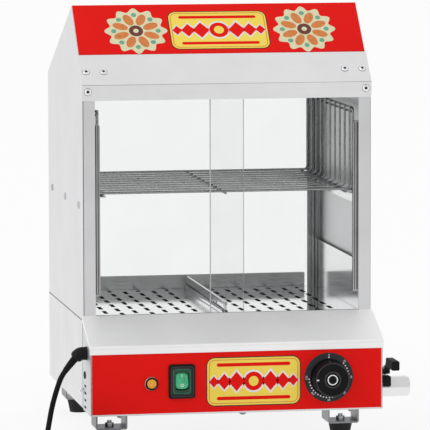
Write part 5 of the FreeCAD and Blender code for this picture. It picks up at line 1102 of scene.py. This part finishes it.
PULL_LOW, PULL_TOP = 196, 416
CHANNEL_LOW, CHANNEL_TOP, CHANNEL_Y = 165, 444, 316.54
for side, name, face_y in ((-1, "left", 7.2), (1, "right", 1.8)):
    # Painted shade: dark strips in the door pull's grooves.
    pull_shade_strips = bmesh.new()
    for first, last in ((171.6, 173.2), (168.7, 169.6)):
        near, far = mirrored(side, first, last)
        add_strip(pull_shade_strips, (near, face_y - 0.06, PULL_LOW), (far, face_y + 0.1, PULL_TOP))
    finished(name + "_pull_groove_shade", pull_shade_strips, name + "_door", dark_line, 0)
fold_shade_strips, seams = bmesh.new(), bmesh.new()
for side in (-1, 1):
    # Painted shade: dark strips along the rear channels' folds.
    for first, last in ((174.9, 175.7), (179.9, 181.3)):
        near, far = mirrored(side, first, last)
        add_strip(fold_shade_strips, (near, CHANNEL_Y, CHANNEL_LOW), (far, CHANNEL_Y + 0.16, CHANNEL_TOP))
    near, far = mirrored(side, 189.9, 190.16)
    add_strip(seams, (near, 1, 162.0), (far, 324, 163.2))
    near, far = mirrored(side, 191.1, 191.28)
    add_strip(seams, (near, 1.6, 48.5), (far, 3.8, 161.5))
finished("channel_fold_shade", fold_shade_strips, "cabinet", dark_line, 0)
POST_LOW, POST_TOP = 170, 448.6
for first, last in ((-190.0, -189.1), (189.6, 190.0)):
    add_strip(seams, (first, -0.1, POST_LOW), (last, 0.1, POST_TOP))
for first, last in ((-191.1, -190.3), (190.5, 191.1)):
    add_strip(seams, (first, PANEL_Y - 0.1, 49), (last, PANEL_Y + 0.1, 127.3))
panel_seams = finished("panel_seams", seams, "cabinet", dark_line, 0)
print("seam faces:", len(panel_seams.data.polygons))

# %% [markdown]
# ## Painted shade and highlights on faces and folds
# The header's band and the posts carry painted shade: each is covered by a darker copy of the steel
# next to it. A dark strip along the header's fold is painted shade in the bend, and two pale strips
# along the apron's lip are painted highlights on its bends. Each is a sheet a few hundredths of a
# millimetre thick.

# %% Lay the painted shade and highlights
HEADER_HALF, BAND_LOW, BAND_TOP = 190.7, 449.0, 468.7
# Painted shade on the header's upright band.
band = bmesh.new()
add_sheet(band, soft_box(-HEADER_HALF, BAND_LOW, HEADER_HALF, BAND_TOP, 2.2, 4),
          facing(0, -1.2, 0), 0.06)
finished("header_band", band, "cabinet", band_shade_steel, 0)
# Painted shade on the front faces of the posts.
post_painted_shade = bmesh.new()
for near, far in ((-189.1, -174.2), (174.2, 189.6)):
    add_strip(post_painted_shade, (near, -0.07, POST_LOW), (far, 0.1, POST_TOP))
finished("post_painted_shade", post_painted_shade, "cabinet", post_shade_steel, 0)
# Painted shade: a dark strip along the header's fold.
fold = bmesh.new()
add_strip(fold, (-HEADER_HALF, -1.28, BAND_TOP), (HEADER_HALF, -1.1, BAND_TOP + 0.45))
finished("header_fold_shade", fold, "cabinet", strap_steel, 0)
LIP_HALF = 192.2
# Painted highlights: two pale strips along the bends of the apron's lip.
shine = bmesh.new()
for low, high in ((134.8, 136.2), (127.7, 128.6)):
    add_strip(shine, (-LIP_HALF, -69.28, low), (LIP_HALF, -69.1, high))
lip_painted_highlight = finished("lip_painted_highlight", shine, "cabinet", painted_highlight_steel, 0)
print("lip shine faces:", len(lip_painted_highlight.data.polygons))

# %% [markdown]
# ## Counter
# The counter is plain and pale. Polished steel that faces the camera mirrors the dim room behind
# it, so to glossy rays the counter grows darker in front; to the camera it stays a clean pale
# sheet.

# %% Lay the counter
COUNTER_HALF, DIM_FROM, DIM_TO, DIMMEST = 60, -4.2, -1.7, 0.66
counter = bmesh.new()
bmesh.ops.create_grid(counter, x_segments=1, y_segments=1, size=COUNTER_HALF)
counter_mesh = bpy.data.meshes.new("counter")
counter.to_mesh(counter_mesh)
counter.free()
counter_top = placed("counter", counter_mesh)
pale_counter = finish("pale_counter", even(0.95), even(0.93), (0.7, 0.8), 0.0, even(40), 1.0, 0.0)
counter_mesh.materials.append(pale_counter)
tree = pale_counter.node_tree
lit = tree.nodes["Principled BSDF"].outputs["BSDF"]
glow = tree.nodes.new("ShaderNodeEmission")
dim = tree.nodes.new("ShaderNodeEmission")
rays = tree.nodes.new("ShaderNodeLightPath")
split = tree.nodes.new("ShaderNodeSeparateXYZ")
tree.links.new(tree.nodes.new("ShaderNodeTexCoord").outputs["Object"], split.inputs["Vector"])
tree.links.new(ranged(tree, split.outputs["Y"], DIM_FROM, DIM_TO, DIMMEST), dim.inputs["Strength"])
bright = joined(tree, 0.8, lit, glow.outputs["Emission"])
seen = joined(tree, rays.outputs["Is Camera Ray"], lit, bright)
seen = joined(tree, rays.outputs["Is Glossy Ray"], seen, dim.outputs["Emission"])
tree.links.new(seen, tree.nodes["Material Output"].inputs["Surface"])
print("counter faces:", len(counter_mesh.polygons))

# %% [markdown]
# ## Room light
# The room is one large soft light from every side. Glossy rays that go back past the camera find
# a dim patch, which gives upright polished faces their grey.

# %% Light the room
ROOM_LEVEL, BEHIND_LEVEL, TOP_LEVEL = 0.72, 0.62, 0.78
world = bpy.data.worlds.new("studio")
bpy.context.scene.world = world
world.use_nodes = True
sky = world.node_tree
sky_split = sky.nodes.new("ShaderNodeSeparateXYZ")
sky.links.new(sky.nodes.new("ShaderNodeTexCoord").outputs["Generated"], sky_split.inputs["Vector"])
soft_level = ranged(sky, sky_split.outputs["Y"], -1.0, 0.3, ROOM_LEVEL)
behind = ranged(sky, sky_split.outputs["Y"], -0.97, -0.70, BEHIND_LEVEL)
overhead = ranged(sky, sky_split.outputs["Z"], 0.25, 0.75, 1.0, TOP_LEVEL)
dimmer = sky.nodes.new("ShaderNodeMath")
dimmer.operation = "MULTIPLY"
sky.links.new(behind, dimmer.inputs[0])
sky.links.new(overhead, dimmer.inputs[1])
sky_rays = sky.nodes.new("ShaderNodeLightPath")
level = mixed(sky, sky_rays.outputs["Is Glossy Ray"], soft_level, dimmer.outputs["Value"], "FLOAT")
sky.links.new(level, sky.nodes["Background"].inputs["Strength"])
sky.nodes["Background"].inputs["Color"].default_value = (1, 1, 1, 1)


def soft_light(name, place, aim, size, power):
    """A square studio light that points at a place."""
    data = bpy.data.lights.new(name, "AREA")
    data.size = size
    data.energy = power
    lamp = placed(name, data)
    lamp.location = place
    lamp.rotation_mode = "QUATERNION"
    lamp.rotation_quaternion = (Vector(aim) - Vector(place)).to_track_quat("-Z", "Y")


soft_light("left_light", (-2.2, -1.2, 1.8), (0, 0, 0.3), 1.6, 10)
bpy.context.scene.view_settings.view_transform = "Standard"
print("lights:", len(bpy.data.lights))
